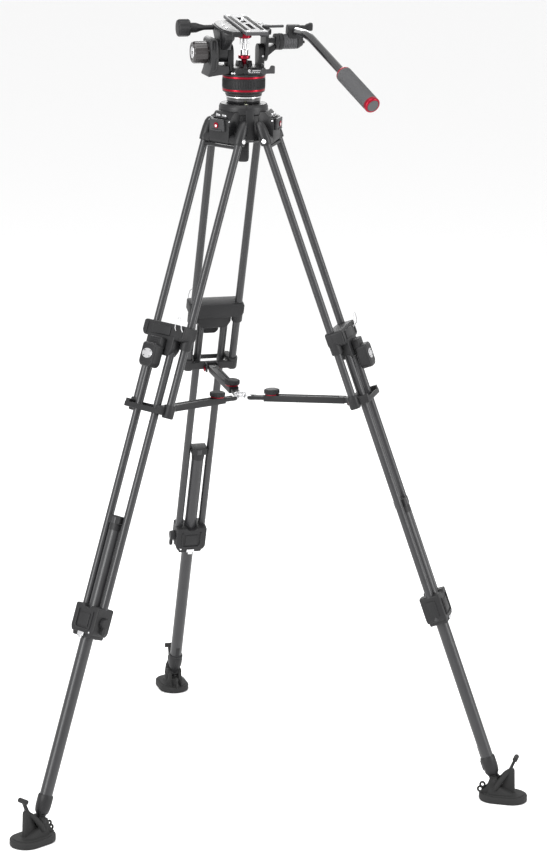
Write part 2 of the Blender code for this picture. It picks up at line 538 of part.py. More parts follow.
# The spring's foot rocks fore and aft in a slot.
spring_slot = block((-6.6 * MM, -19 * MM, SPRING_FOOT - 9 * MM), (6.6 * MM, 19 * MM, 90 * MM))
upright_line = [(-UPRIGHT_HALF, 49 * MM), (UPRIGHT_HALF, 49 * MM)] + arc(UPRIGHT_HALF, 0, 180, 8, (0, TILT_AXIS))
uprights = [
    wall(upright_line, -40 * MM, -27 * MM),
    wall(upright_line, 29 * MM, ARM_INNER - PLAY),
    rod(SHAFT_RADIUS, (36 * MM, 0, TILT_AXIS), (50 * MM, 0, TILT_AXIS)),
]
piece("pan_body", "black_metal", head, turned(disc_profile, sides=28), add=[panel, cone, *uprights],
      cut=[spring_slot, rod(SHAFT_RADIUS + GAP, (-60 * MM, 0, TILT_AXIS), (-32 * MM, 0, TILT_AXIS))])

# The counterbalance housing is bolted to the left upright through the shaft; its knob is outside.
HOUSING_HALF = 33 * MM
HOUSING_IN = 63.5 * MM
housing_line = [(-40.5 * MM, 52.5 * MM), (-62 * MM, 50 * MM), (-87 * MM, 47 * MM), (-84 * MM, 60 * MM)]
housing_line += [(-80 * MM, 78 * MM), (-82 * MM, 100 * MM), (-82 * MM, 122 * MM), (-74 * MM, 130 * MM)]
housing_line += [(-HOUSING_IN, 124 * MM), (-HOUSING_IN, 72 * MM), (-40.5 * MM, 70 * MM)]
housing = sheet(housing_line, 2 * HOUSING_HALF, turn=(math.pi / 2, 0, 0))
shaft = rod(SHAFT_RADIUS, (-HOUSING_IN - 5 * MM, 0, TILT_AXIS), (-33 * MM, 0, TILT_AXIS))
piece("side_housing", "black_plastic", head, housing, add=[shaft])
knob_axis = frame("side_knob_axis", head, at=(-82 * MM - GAP, 0, TILT_AXIS), turn=(0, -math.pi / 2, 0))
knob_profile = [(0, 33 * MM), (21 * MM, 33 * MM), (24 * MM, 29 * MM), (24 * MM, 3 * MM), (22 * MM, 0), (0, 0)]
piece("counterbalance_knob", "black_plastic", knob_axis, turned(knob_profile))

LEVER_AT = (33 * MM, -36 * MM - GAP, 58 * MM)
pan_lever = frame("pan_lock_axis", head, at=LEVER_AT)
piece("pan_lock_lever", "grey_plastic", pan_lever,
      rod(7 * MM, (0, 0, 0), (0, -9 * MM, 0)),
      add=[block((0, -9 * MM, -5 * MM), (24 * MM, -2 * MM, 5 * MM), 2 * MM)])

# The gas spring: a foot that rocks on the pan body and a cap that rocks on the cradle.
SPRING_TOP = 2 * TILT_AXIS - SPRING_FOOT    # both pivots are equally far from the tilt axis
foot_axis = frame("spring_foot_axis", head, at=(0, 0, SPRING_FOOT), turn=(TILT_REST / 2, 0, 0))
foot_profile = [(5.5 * MM, 48 * MM), (8.5 * MM, 48 * MM), (8.5 * MM, 36 * MM), (13 * MM, 36 * MM), (13 * MM, 28 * MM)]
foot_profile += [(6 * MM, 26 * MM), (6 * MM, -4 * MM), (0, -4 * MM), (0, 26 * MM), (5.5 * MM, 26 * MM)]
piece("spring_foot", "red_anodised", foot_axis, turned(foot_profile))

# ---- head: what tilts ------------------------------------------------------------------------
tilt = frame("tilt_frame", head, at=(0, 0, TILT_AXIS), turn=(TILT_REST, 0, 0))
CRADLE_LOW = 40 * MM                        # above the tilt axis
CRADLE_TOP = 54 * MM
CRADLE_HALF = 66 * MM
ARM_HALF = 19 * MM
cap_axis = frame("spring_cap_axis", tilt, at=(0, 0, SPRING_TOP - TILT_AXIS), turn=(-TILT_REST / 2, 0, 0))
cap_profile = [(0, -1 * MM), (13 * MM, -1 * MM), (15 * MM, -3 * MM), (15 * MM, -14 * MM), (5 * MM, -15 * MM)]
cap_profile += [(5 * MM, -41 * MM), (0, -41 * MM)]
piece("spring_cap", "red_anodised", cap_axis, turned(cap_profile))

arm_line = [(ARM_HALF, CRADLE_TOP - 3 * MM), (-ARM_HALF, CRADLE_TOP - 3 * MM)] + arc(ARM_HALF, 180, 360, 8)
left_arm = wall(arm_line, -61 * MM, -ARM_INNER)
gusset_line = [(-66 * MM, CRADLE_TOP - 1 * MM), (60 * MM, CRADLE_TOP - 1 * MM), (56 * MM, CRADLE_LOW + 2 * MM)]
gusset_line += [(17 * MM, 6 * MM), (-17 * MM, 6 * MM), (-50 * MM, 26 * MM)]
gusset = wall(gusset_line, -58 * MM, -42 * MM)
right_arm = wall(arm_line, ARM_INNER, 48.5 * MM)
deck = block((-61.5 * MM, -CRADLE_HALF, CRADLE_LOW + 4 * MM), (34 * MM, CRADLE_HALF, CRADLE_TOP), 2 * MM)
deck_right = block((20 * MM, -38 * MM, CRADLE_LOW + 2 * MM), (49 * MM, 38 * MM, CRADLE_TOP), 2 * MM)
ROSETTE_Z = 20 * MM
strut = block((45 * MM, -13 * MM, ROSETTE_Z - 12 * MM), (74 * MM, 13 * MM, ROSETTE_Z + 12 * MM), 3 * MM)
shaft_holes = [rod(SHAFT_RADIUS + PLAY, (-70 * MM, 0, 0), (-30 * MM, 0, 0)),
               rod(SHAFT_RADIUS + PLAY, (30 * MM, 0, 0), (50.5 * MM, 0, 0))]
PLATE_SLOT = PLATE_WIDTH / 2 + PLAY
PLATE_X = 2 * MM                            # the plate is a little to the right of the pan axis
PLATE_LOW = CRADLE_TOP - 1 * MM
# The front of the deck is open, and so is its middle, where the spring's cap rocks.
spring_window = block((-22 * MM, -PLATE_LENGTH, 30 * MM), (18 * MM, 20 * MM, 90 * MM))
slide_cut = block((PLATE_X - PLATE_SLOT, -PLATE_LENGTH, PLATE_LOW - GAP), (PLATE_X + PLATE_SLOT, PLATE_LENGTH, 90 * MM))
piece("tilt_body", "black_metal", tilt, deck,
      add=[gusset, left_arm, deck_right, right_arm, strut], cut=[*shaft_holes, slide_cut, spring_window])

# The camera plate slides along the cradle; the rosette carries the clamp of the pan bar.
PLATE_TOP = CRADLE_TOP + 7 * MM
plate_low, plate_high = PLATE_X - PLATE_WIDTH / 2, PLATE_X + PLATE_WIDTH / 2
plate_slots = [block((PLATE_X - 5 * MM, -62 * MM, PLATE_LOW - 5 * MM), (PLATE_X + 5 * MM, -8 * MM, 80 * MM)),
               block((PLATE_X - 5 * MM, 8 * MM, PLATE_LOW - 5 * MM), (PLATE_X + 5 * MM, 62 * MM, 80 * MM))]
piece("camera_plate", "grey_metal", tilt,
      block((plate_low, -PLATE_LENGTH / 2, PLATE_LOW), (plate_high, PLATE_LENGTH / 2, PLATE_TOP), 1.5 * MM),
      cut=plate_slots)
screw_axis = frame("camera_screw_axis", tilt, at=(PLATE_X, 30 * MM, PLATE_LOW + 1 * MM))
SCREW_LENGTH = PLATE_TOP - PLATE_LOW + 5 * MM
piece("camera_screw", "steel", screw_axis, rod(3.2 * MM, (0, 0, 0), (0, 0, SCREW_LENGTH), sides=12))

lever_axis = frame("plate_lever_axis", tilt, at=(40 * MM, -22 * MM, CRADLE_TOP + GAP))
piece("plate_lever", "grey_metal", lever_axis, rod(8 * MM, (0, 0, 0), (0, 0, 7 * MM)),
      add=[block((0, -5 * MM, 0.5 * MM), (40 * MM, 5 * MM, 6.5 * MM), 2 * MM)])

STEM_Y = 26 * MM
STEM_Z = CRADLE_TOP - 6 * MM
stem_axis = frame("plate_lock_knob_axis", tilt, at=(-61.5 * MM - GAP, STEM_Y, STEM_Z), turn=(0, -math.pi / 2, 0))
stem_profile = [(0, 81 * MM), (16 * MM, 81 * MM), (19 * MM, 78 * MM), (19 * MM, 56 * MM), (16 * MM, 53 * MM)]
stem_profile += [(11 * MM, 53 * MM), (10 * MM, 38 * MM), (5.5 * MM, 24 * MM), (5.5 * MM, 0), (0, 0)]
piece("plate_lock_knob", "black_plastic", stem_axis, turned(stem_profile))

# The pan bar's clamp turns on the rosette's axis, which runs along X.
BARREL_RADIUS = 18 * MM
BAR_AT = (34 * MM, 0, 23 * MM)              # middle of the bar's clamp in the clamp's frame
rosette = frame("rosette_axis", tilt, at=(74 * MM + GAP, 0, ROSETTE_Z))
disc = rod(BARREL_RADIUS, (0, 0, 0), (12 * MM, 0, 0), sides=SIDES)
barrel = rod(BARREL_RADIUS - 1 * MM, (10 * MM, 0, 0), (44 * MM, 0, 0), sides=SIDES)
nose = rod(BARREL_RADIUS - 2 * MM, (40 * MM, 0, 0), (56 * MM, 0, 0), radius_end=9 * MM, sides=FINE_SIDES)
saddle = block((20 * MM, -14 * MM, 5 * MM), (48 * MM, 14 * MM, 39 * MM), 3 * MM)

BAR_YAW = math.radians(-83.6)
BAR_BEND_AT = 80 * MM
GRIP_YAW = math.radians(-73.8)
GRIP_DROP = math.radians(-25.4)
GRIP_FROM = 150 * MM                        # from the bend to the grip, along the bar
BAR_TOTAL = 282 * MM                        # from the bend to the end of the grip
bar_middle = Vector(BAR_AT)
# The bar's directions are level with the pan body, so the head's tip is taken out of them.
untip = Matrix.Rotation(-TILT_REST, 3, "X")
first = untip @ Vector((math.cos(BAR_YAW), math.sin(BAR_YAW), 0))
second = untip @ Vector((
    math.cos(GRIP_DROP) * math.cos(GRIP_YAW), math.cos(GRIP_DROP) * math.sin(GRIP_YAW), math.sin(GRIP_DROP)))
bend = bar_middle + first * BAR_BEND_AT
BEND_SIZE = 22 * MM
facet_room = 1 / math.cos(math.pi / SIDES)  # keeps a bore's flats clear of a bar with other facets
bar_hole = rod((BAR_RADIUS + GAP) * facet_room, bar_middle - first * 60 * MM, bar_middle + first * 60 * MM,
               sides=SIDES)
piece("bar_clamp", "grey_metal", rosette, barrel, add=[disc, nose, saddle], cut=[bar_hole])
wing_axis = frame("wing_knob_axis", rosette, at=(48 * MM + GAP, 0, 30 * MM))
piece("clamp_wing_knob", "black_plastic", wing_axis, rod(4.5 * MM, (0, 0, 0), (14 * MM, 0, 0)),
      add=[block((12 * MM, -5 * MM, -9 * MM), (28 * MM, 5 * MM, 10 * MM), 2.5 * MM)])


def bar_point(fraction):
    """A point round the bend, from 0 on the level run to 1 on the slanted one."""
    start, end = bend - first * BEND_SIZE, bend + second * BEND_SIZE
    return start * (1 - fraction) ** 2 + bend * 2 * fraction * (1 - fraction) + end * fraction ** 2


route = [bar_middle - first * 20 * MM] + [bar_point(i / 6) for i in range(7)]
route.append(bend + second * (GRIP_FROM + 30 * MM))
piece("pan_bar", "gloss_black", rosette, wire(route, BAR_RADIUS, sides=3))
grip_start = bend + second * GRIP_FROM
grip_turn = second.to_track_quat("Z", "Y").to_euler()
grip_axis = frame("grip_axis", rosette, at=grip_start, turn=grip_turn)
grip_length = BAR_TOTAL - GRIP_FROM
bore = BAR_RADIUS + GAP
grip_profile = [(0, grip_length), (GRIP_RADIUS - 2 * MM, grip_length), (GRIP_RADIUS, grip_length - 2 * MM)]
grip_profile += [(GRIP_RADIUS, 6 * MM), (12 * MM, 0), (bore, 0), (bore, 30 * MM + 1 * MM), (0, 30 * MM + 1 * MM)]
piece("grip", "grip_rubber", grip_axis, turned(grip_profile))
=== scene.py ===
"""A two-stage video tripod with a half-ball fluid head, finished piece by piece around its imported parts.

Lengths are in millimetres and angles in degrees until a piece is set in place.
"""
import math

import bmesh
import bpy
from mathutils import Euler, Matrix, Vector


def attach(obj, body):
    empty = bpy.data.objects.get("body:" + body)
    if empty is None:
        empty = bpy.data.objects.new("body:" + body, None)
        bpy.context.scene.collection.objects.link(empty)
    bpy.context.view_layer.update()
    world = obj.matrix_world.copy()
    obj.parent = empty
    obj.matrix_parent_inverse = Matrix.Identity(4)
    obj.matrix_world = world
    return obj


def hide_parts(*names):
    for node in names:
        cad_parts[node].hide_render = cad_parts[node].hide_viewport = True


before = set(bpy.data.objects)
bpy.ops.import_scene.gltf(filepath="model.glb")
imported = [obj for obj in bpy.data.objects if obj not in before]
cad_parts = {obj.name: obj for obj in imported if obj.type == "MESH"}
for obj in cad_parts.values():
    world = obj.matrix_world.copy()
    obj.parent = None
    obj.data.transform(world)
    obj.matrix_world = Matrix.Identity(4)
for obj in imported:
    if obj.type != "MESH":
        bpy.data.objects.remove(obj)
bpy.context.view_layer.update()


# ---- Studio ------------------------------------------------------------------------------------
# A white floor and room, two tall soft boxes that draw the highlights down the tubes, two wide ones
# behind and above, and a long lens well above the height of the head.
def aim(thing, position, forward, roll=0.0):
    """Set a camera or a lamp at a point in metres, looking along a direction."""
    forward = Vector(forward).normalized()
    side = forward.cross(Vector((0, 0, 1))).normalized()
    side = Matrix.Rotation(-math.radians(roll), 3, forward) @ side
    up = side.cross(forward)
    turn = Matrix((side, up, -forward)).transposed().to_4x4()
    thing.matrix_world = Matrix.Translation(position) @ turn
    bpy.context.scene.collection.objects.link(thing)


lens = bpy.data.cameras.new("camera")
lens.lens = 125.3
lens.clip_end = 60
camera = bpy.data.objects.new("camera", lens)
aim(camera, (-1.689, -6.370, 2.411), (0.2653, 0.9332, -0.2426), roll=0.77)
bpy.context.scene.camera = camera

SOFT_BOXES = {              # watts, width, height, position
    "left_box": (150, 1.4, 3.0, (-3.4, -2.2, 2.2)),
    "right_box": (110, 1.2, 3.0, (3.2, -2.6, 2.0)),
    "back_box": (60, 2.4, 1.6, (0.6, 3.4, 3.0)),
    "top_box": (70, 2.6, 2.6, (-0.4, -1.2, 4.0)),
}
for name, (power, width, height, position) in SOFT_BOXES.items():
    box = bpy.data.lights.new(name, "AREA")
    box.energy = power
    box.shape = "RECTANGLE"
    box.size = width
    box.size_y = height
    aim(bpy.data.objects.new(name, box), position, Vector((0, -0.15, 0.95)) - Vector(position))

room = bpy.data.worlds.new("room")
room.use_nodes = True
room.node_tree.nodes["Background"].inputs["Color"].default_value = (1, 1, 1, 1)
room.node_tree.nodes["Background"].inputs["Strength"].default_value = 1.0
bpy.context.scene.world = room
bpy.context.scene.view_settings.view_transform = "Standard"

floor_shape = bmesh.new()
bmesh.ops.create_grid(floor_shape, x_segments=1, y_segments=1, size=30)
floor_mesh = bpy.data.meshes.new("floor")
floor_shape.to_mesh(floor_mesh)
floor_shape.free()
floor_paint = bpy.data.materials.new("floor_paint")
floor_paint.use_nodes = True
floor_paint.node_tree.nodes["Principled BSDF"].inputs["Base Color"].default_value = (0.93, 0.93, 0.93, 1)
floor_paint.node_tree.nodes["Principled BSDF"].inputs["Roughness"].default_value = 0.9
floor_mesh.materials.append(floor_paint)
floor = bpy.data.objects.new("floor", floor_mesh)
bpy.context.scene.collection.objects.link(floor)


# ---- Crown: the cast spider that holds the bowl ------------------------------------------------
# One black powder-coated casting: a turned wall round the bowl and three lugs that carry the legs.
# A round bubble level sits in its rim; a white ring on its dome is a painted highlight for the bubble. The two
# classes below are how every piece and finish is made.
class Value:
    """One socket of a material. Python's own arithmetic on it adds Math nodes."""

    def __init__(self, finish, socket):
        self.finish, self.socket = finish, socket

    def maths(self, operation, first, second=0.0):
        return self.finish.node("ShaderNodeMath", {"operation": operation}, {0: first, 1: second})

    def __add__(self, other):
        return self.maths("ADD", self, other)

    def __sub__(self, other):
        return self.maths("SUBTRACT", self, other)

    def __rsub__(self, other):
        return self.maths("SUBTRACT", other, self)

    def __mul__(self, other):
        return self.maths("MULTIPLY", self, other)

    __radd__, __rmul__ = __add__, __mul__

    def sine(self):
        return self.maths("SINE", self)


class Finish:
    """A material with its nodes, and the slot of the record that it belongs to."""

    def __init__(self, name, slot, fixed):
        self.slot = slot
        self.material = bpy.data.materials.new(name)
        self.material.use_nodes = True
        self.shader = self.material.node_tree.nodes["Principled BSDF"]
        for socket, value in fixed.items():
            self.shader.inputs[socket].default_value = value

    def node(self, kind, settings, inputs, output=0):
        node = self.material.node_tree.nodes.new(kind)
        for setting, value in settings.items():
            setattr(node, setting, value)
        for socket, value in inputs.items():
            if isinstance(value, Value):
                self.material.node_tree.links.new(value.socket, node.inputs[socket])
            else:
                node.inputs[socket].default_value = value
        return Value(self, node.outputs[output])

    def feed(self, socket, value):
        self.material.node_tree.links.new(value.socket, self.shader.inputs[socket])

    def where(self, kind="Object"):
        return self.node("ShaderNodeTexCoord", {}, {}, kind)

    def noise(self, scale, detail=2.0, kind="Object"):
        return self.node("ShaderNodeTexNoise", {},
                         {"Vector": self.where(kind), "Scale": scale, "Detail": detail})

    def mixed(self, mask, first, second):
        settings = {"data_type": "RGBA"}
        return self.node("ShaderNodeMix", settings, {0: mask, 6: (*first, 1), 7: (*second, 1)}, 2)

    def relief(self, height, depth):
        """A bump whose height is in metres."""
        self.feed("Normal", self.node("ShaderNodeBump", {}, {"Height": height, "Distance": depth}))


def grained(name, slot, dark, light, roughness, grain, depth, **fixed):
    """A finish with a fine grain over a slow drift of tone."""
    finish = Finish(name, slot, {key.replace("_", " "): value for key, value in fixed.items()})
    drift = finish.noise(14, 3)
    fine = finish.noise(grain, 2)
    finish.feed("Base Color", finish.mixed(drift * 0.6 + fine * 0.4, dark, light))
    finish.feed("Roughness", fine * 0.16 + drift * 0.1 + (roughness - 0.13))
    finish.relief(fine, depth)
    return finish


def at(x=0, y=0, z=0, rx=0, ry=0, rz=0):
    """A place in millimetres, turned in degrees about X, then Y, then Z."""
    return Matrix.Translation((x, y, z)) @ Euler([math.radians(a) for a in (rx, ry, rz)]).to_matrix().to_4x4()


SIDEWAYS = Matrix(((0, 0, 1, 0), (1, 0, 0, 0), (0, 1, 0, 0), (0, 0, 0, 1)))     # outline in Y and Z
UPRIGHT = Matrix(((1, 0, 0, 0), (0, 0, -1, 0), (0, 1, 0, 0), (0, 0, 0, 1)))     # outline in X and Z


def soften(points, radius, steps=3, closed=True):
    """Round the corners of an outline or of a profile."""
    points = [Vector(p) for p in points]
    result = []
    for i, corner in enumerate(points):
        if not closed and i in (0, len(points) - 1):
            result.append(corner)
            continue
        before, after = points[i - 1] - corner, points[(i + 1) % len(points)] - corner
        reach = min(radius, before.length * 0.45, after.length * 0.45)
        start, end = corner + before.normalized() * reach, corner + after.normalized() * reach
        for step in range(steps + 1):
            t = step / steps
            result.append(start * (1 - t) ** 2 + corner * 2 * t * (1 - t) + end * t ** 2)
    return [tuple(p) for p in result]


def arc(radius, start, end, steps, x=0.0, y=0.0):
    angles = [math.radians(start + (end - start) * i / steps) for i in range(steps + 1)]
    return [(x + radius * math.cos(a), y + radius * math.sin(a)) for a in angles]


class Form:
    """Closed shapes gathered in one frame, then set in the object as one piece."""

    def __init__(self, place):
        self.place = place
        self.shapes = bmesh.new()

    def take(self, shape, place):
        bmesh.ops.remove_doubles(shape, verts=shape.verts, dist=0.0005)
        bmesh.ops.recalc_face_normals(shape, faces=shape.faces)
        mesh = bpy.data.meshes.new("shape")
        shape.to_mesh(mesh)
        shape.free()
        mesh.transform(place)
        self.shapes.from_mesh(mesh)
        bpy.data.meshes.remove(mesh)
        return self

    def box(self, low, high, radius=1.5, place=Matrix(), steps=3):
        shape = bmesh.new()
        size = Vector(high) - Vector(low)
        bmesh.ops.create_cube(shape, size=1)
        middle = Matrix.Translation((Vector(high) + Vector(low)) / 2)
        bmesh.ops.transform(shape, matrix=middle @ Matrix.Diagonal((*size, 1)), verts=shape.verts)
        radius = min(radius, 0.45 * min(size))
        bmesh.ops.bevel(shape, geom=shape.edges[:], offset=radius, segments=steps, affect="EDGES", profile=0.5)
        return self.take(shape, place)

    def rings(self, rows, place=Matrix(), joined=False, flat_ends=False):
        """A skin over rows of points; a row of one point is a pole."""
        shape = bmesh.new()
        surface = shape.loops.layers.uv.new("surface")
        rows = [[shape.verts.new(p) for p in row] for row in rows]
        along = 0.0
        for low, high in zip(rows, rows[1:] + (rows[:1] if joined else [])):
            count = max(len(low), len(high))
            far = along + (high[0].co - low[0].co).length
            wide = max((low[i].co - low[i - 1].co).length for i in range(len(low))) if len(low) > 1 else (
                max((high[i].co - high[i - 1].co).length for i in range(len(high))))
            for i in range(count):
                j = i + 1
                corners = {low[i % len(low)]: (i, along), low[j % len(low)]: (j, along),
                           high[j % len(high)]: (j, far), high[i % len(high)]: (i, far)}
                if len(corners) > 2:
                    skin = shape.faces.new(corners)
                    for loop in skin.loops:
                        u, v = corners[loop.vert]
                        loop[surface].uv = (u * wide / 1000, v / 1000)
            along = far
        if flat_ends:
            shape.faces.new(rows[0][::-1])
            shape.faces.new(rows[-1])
        return self.take(shape, place)

    def turned(self, profile, place=Matrix(), steps=48, ring=False, flutes=0, depth=0.0, from_radius=0.0):
        """A profile of (radius, height) turned about Z, with flutes pressed into its outer part."""
        rows = []
        for radius, height in profile:
            if radius < 0.001:
                rows.append([(0, 0, height)])
                continue
            row = []
            for i in range(steps):
                angle = math.tau * i / steps
                out = radius - (depth * (0.5 - 0.5 * math.cos(flutes * angle)) if radius > from_radius else 0)
                row.append((out * math.cos(angle), out * math.sin(angle), height))
            rows.append(row)
        return self.rings(rows, place, joined=ring)

    def slab(self, outline, thickness, radius=1.0, place=Matrix(), steps=3):
        """An outline in X and Y, half its thickness each way along Z, with rounded rims."""
        shape = bmesh.new()
        half = thickness / 2
        low = shape.faces.new([shape.verts.new((x, y, -half)) for x, y in outline])
        lifted = bmesh.ops.extrude_face_region(shape, geom=[low])
        up = [item for item in lifted["geom"] if isinstance(item, bmesh.types.BMVert)]
        bmesh.ops.translate(shape, vec=(0, 0, thickness), verts=up)
        bmesh.ops.recalc_face_normals(shape, faces=shape.faces)
        rims = [e for e in shape.edges if abs(e.verts[0].co.z - e.verts[1].co.z) < 0.0001]
        radius = min(radius, 0.45 * thickness)
        bmesh.ops.bevel(shape, geom=rims, offset=radius, segments=steps, affect="EDGES", profile=0.5,
                        clamp_overlap=True)
        return self.take(shape, place)

    def wall(self, outline, low_x, high_x, radius=1.0):
        return self.slab(outline, high_x - low_x, radius, at((low_x + high_x) / 2) @ SIDEWAYS)

    def bar(self, points, radius, steps=16, closed=False, place=Matrix()):
        """A round bar bent through points."""
        points = [Vector(p) for p in points]
        count = len(points)
        rows = []
        across = None
        for i, point in enumerate(points):
            if closed:
                along = points[(i + 1) % count] - points[i - 1]
            else:
                along = points[min(i + 1, count - 1)] - points[max(i - 1, 0)]
            along.normalize()
            if across is None:
                across = along.orthogonal().normalized()
            across = (across - along * across.dot(along)).normalized()
            other = along.cross(across)
            size = radius[i] if isinstance(radius, (list, tuple)) else radius
            rows.append([point + (across * math.cos(math.tau * k / steps) + other * math.sin(math.tau * k / steps))
                         * size for k in range(steps)])
        return self.rings(rows, place, joined=closed, flat_ends=not closed)

    def loft(self, sections, place=Matrix(), corner=6):
        """Rounded rectangles (width, depth, radius, x, y, z) joined one above the other."""
        rows = []
        for width, depth, radius, x, y, z in sections:
            radius = min(radius, width / 2 - 0.01, depth / 2 - 0.01)
            row = []
            for side, (sx, sy) in enumerate(((1, 1), (-1, 1), (-1, -1), (1, -1))):
                centre = (x + sx * (width / 2 - radius), y + sy * (depth / 2 - radius))
                row += [(px, py, z) for px, py in arc(radius, 90 * side, 90 * side + 90, corner, *centre)]
            rows.append(row)
        return self.rings(rows, place, flat_ends=True)

    def copies(self, item, count, paint, radius=0.0, step=(0, 0, 0), place=Matrix()):
        """Copies of a small form, round a circle or along a line, set out by geometry nodes."""
        source_mesh = bpy.data.meshes.new("item")
        item.shapes.to_mesh(source_mesh)
        item.shapes.free()
        source = bpy.data.objects.new("item", source_mesh)
        host = bpy.data.objects.new("host", bpy.data.meshes.new("host"))
        for thing in (source, host):
            bpy.context.scene.collection.objects.link(thing)
        nodes = host.modifiers.new("copies", "NODES")
        nodes.node_group = copies_tree("ring" if radius else "row")
        given = {"Item": source, "Count": count, "Radius": radius, "Step": step, "Paint": paint.material}
        for socket in nodes.node_group.interface.items_tree:
            if socket.in_out == "INPUT" and socket.name in given:
                nodes[socket.identifier] = given[socket.name]
        bpy.context.view_layer.update()
        made = bpy.data.meshes.new_from_object(host.evaluated_get(bpy.context.evaluated_depsgraph_get()))
        host.modifiers.clear()
        made.transform(place)
        self.shapes.from_mesh(made)
        for thing in (source, host):
            bpy.data.objects.remove(thing)
        return self

    def piece(self, name, body, finish, *nodes, sharp=34):
        mesh = bpy.data.meshes.new(name)
        self.shapes.to_mesh(mesh)
        self.shapes.free()
        mesh.transform(Matrix.Scale(0.001, 4) @ self.place)
        mesh.materials.clear()
        mesh.materials.append(finish.material)
        mesh.polygons.foreach_set("material_index", [0] * len(mesh.polygons))
        mesh.polygons.foreach_set("use_smooth", [True] * len(mesh.polygons))
        mesh.set_sharp_from_angle(angle=math.radians(sharp))
        piece = bpy.data.objects.new(name, mesh)
        bpy.context.scene.collection.objects.link(piece)
        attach(piece, body)
        if nodes:
            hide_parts(*nodes)
        return piece


def copies_tree(layout):
    """Geometry nodes: an item set round a ring, facing outwards, or along a row."""
    name = "copies_in_a_" + layout
    if name in bpy.data.node_groups:
        return bpy.data.node_groups[name]
    tree = bpy.data.node_groups.new(name, "GeometryNodeTree")
    tree.interface.new_socket("Geometry", in_out="OUTPUT", socket_type="NodeSocketGeometry")
    for label, kind in (("Geometry", "Geometry"), ("Item", "Object"), ("Count", "Int"), ("Radius", "Float"),
                        ("Step", "Vector"), ("Paint", "Material")):
        tree.interface.new_socket(label, in_out="INPUT", socket_type="NodeSocket" + kind)
    kinds = {"given": "NodeGroupInput", "result": "NodeGroupOutput", "item": "GeometryNodeObjectInfo",
             "set_out": "GeometryNodeInstanceOnPoints", "solid": "GeometryNodeRealizeInstances",
             "paint": "GeometryNodeSetMaterial",
             "points": "GeometryNodeMeshCircle" if layout == "ring" else "GeometryNodeMeshLine"}
    node = {label: tree.nodes.new(kind) for label, kind in kinds.items()}
    link = tree.links.new
    link(node["given"].outputs["Item"], node["item"].inputs["Object"])
    link(node["item"].outputs["Geometry"], node["set_out"].inputs["Instance"])
    link(node["points"].outputs["Mesh"], node["set_out"].inputs["Points"])
    if layout == "ring":
        link(node["given"].outputs["Count"], node["points"].inputs["Vertices"])
        link(node["given"].outputs["Radius"], node["points"].inputs["Radius"])
        place = tree.nodes.new("GeometryNodeInputPosition")
        parts = tree.nodes.new("ShaderNodeSeparateXYZ")
        angle = tree.nodes.new("ShaderNodeMath")
        angle.operation = "ARCTAN2"
        turn = tree.nodes.new("ShaderNodeCombineXYZ")
        rotation = tree.nodes.new("FunctionNodeEulerToRotation")
        link(place.outputs[0], parts.inputs[0])
        link(parts.outputs["Y"], angle.inputs[0])
        link(parts.outputs["X"], angle.inputs[1])
        link(angle.outputs[0], turn.inputs["Z"])
        link(turn.outputs[0], rotation.inputs[0])
        link(rotation.outputs[0], node["set_out"].inputs["Rotation"])
    else:
        link(node["given"].outputs["Count"], node["points"].inputs["Count"])
        link(node["given"].outputs["Step"], node["points"].inputs["Offset"])
    link(node["set_out"].outputs[0], node["solid"].inputs[0])
    link(node["solid"].outputs[0], node["paint"].inputs["Geometry"])
    link(node["given"].outputs["Paint"], node["paint"].inputs["Material"])
    link(node["paint"].outputs[0], node["result"].inputs[0])
    return tree


powder_coat = grained("powder_coat", "black_metal", (0.0055, 0.0055, 0.006), (0.012, 0.012, 0.013), 0.42,
                      900, 0.00008,
                      Specular_IOR_Level=0.32)
steel = grained("turned_steel", "steel", (0.6, 0.6, 0.61), (0.74, 0.74, 0.75), 0.26, 1400, 0.00002,
                Metallic=1.0)
black_moulding = grained("black_moulding", "black_plastic", (0.006, 0.006, 0.0065), (0.013, 0.013, 0.014),
                         0.5, 1300,
                         0.00006, Specular_IOR_Level=0.28)
grey_moulding = grained("grey_moulding", "grey_plastic", (0.022, 0.022, 0.023), (0.034, 0.034, 0.036), 0.45,
                        1300,
                        0.00005, Specular_IOR_Level=0.3)
PAN_AXIS = at(0, -158.13)
HINGE_HEIGHT = 1457
LEGS = {"front": 90, "left": 210, "right": 330}
MIDDLE_IN = {"front": 0, "left": 24, "right": 0}        # the legs are not drawn out alike
crown_at = PAN_AXIS @ at(z=HINGE_HEIGHT)
crown = Form(crown_at)
crown.turned(soften([
    (36.6, 72.5), (50, 72.5), (53, 66), (53, 52), (50.5, 50), (50.5, -4), (47, -8), (43, -8), (44, 50),
    (33, 56.5),
    (24, 48.7), (15, 44.2), (15, 50.2), (23, 54.8), (30, 61.6)], 1.2), ring=True, steps=72)
lug_line = soften([(40, 58), (55, 58), (67, 46), (74.5, 44), (74.5, 17)] + arc(11.6, 0, -180, 14, 63,
                                                                               0) + [(40, 1)], 1.5)
for azimuth in LEGS.values():
    lug = Form(Matrix()).wall(lug_line, -29.8, 29.8, 2.5)
    lug.box((-20, 66, 45.5), (20, 73, 47.5), 0.6)
    crown.take(lug.shapes, at(rz=azimuth - 90))
    web = Form(Matrix()).wall(soften([(40, 62), (52.5, 62), (57, 30), (57, -2), (40, -8)], 2), -9, 9, 2)
    crown.take(web.shapes, at(rz=azimuth - 30))
crown.piece("crown_casting", "crown", powder_coat, "crown")

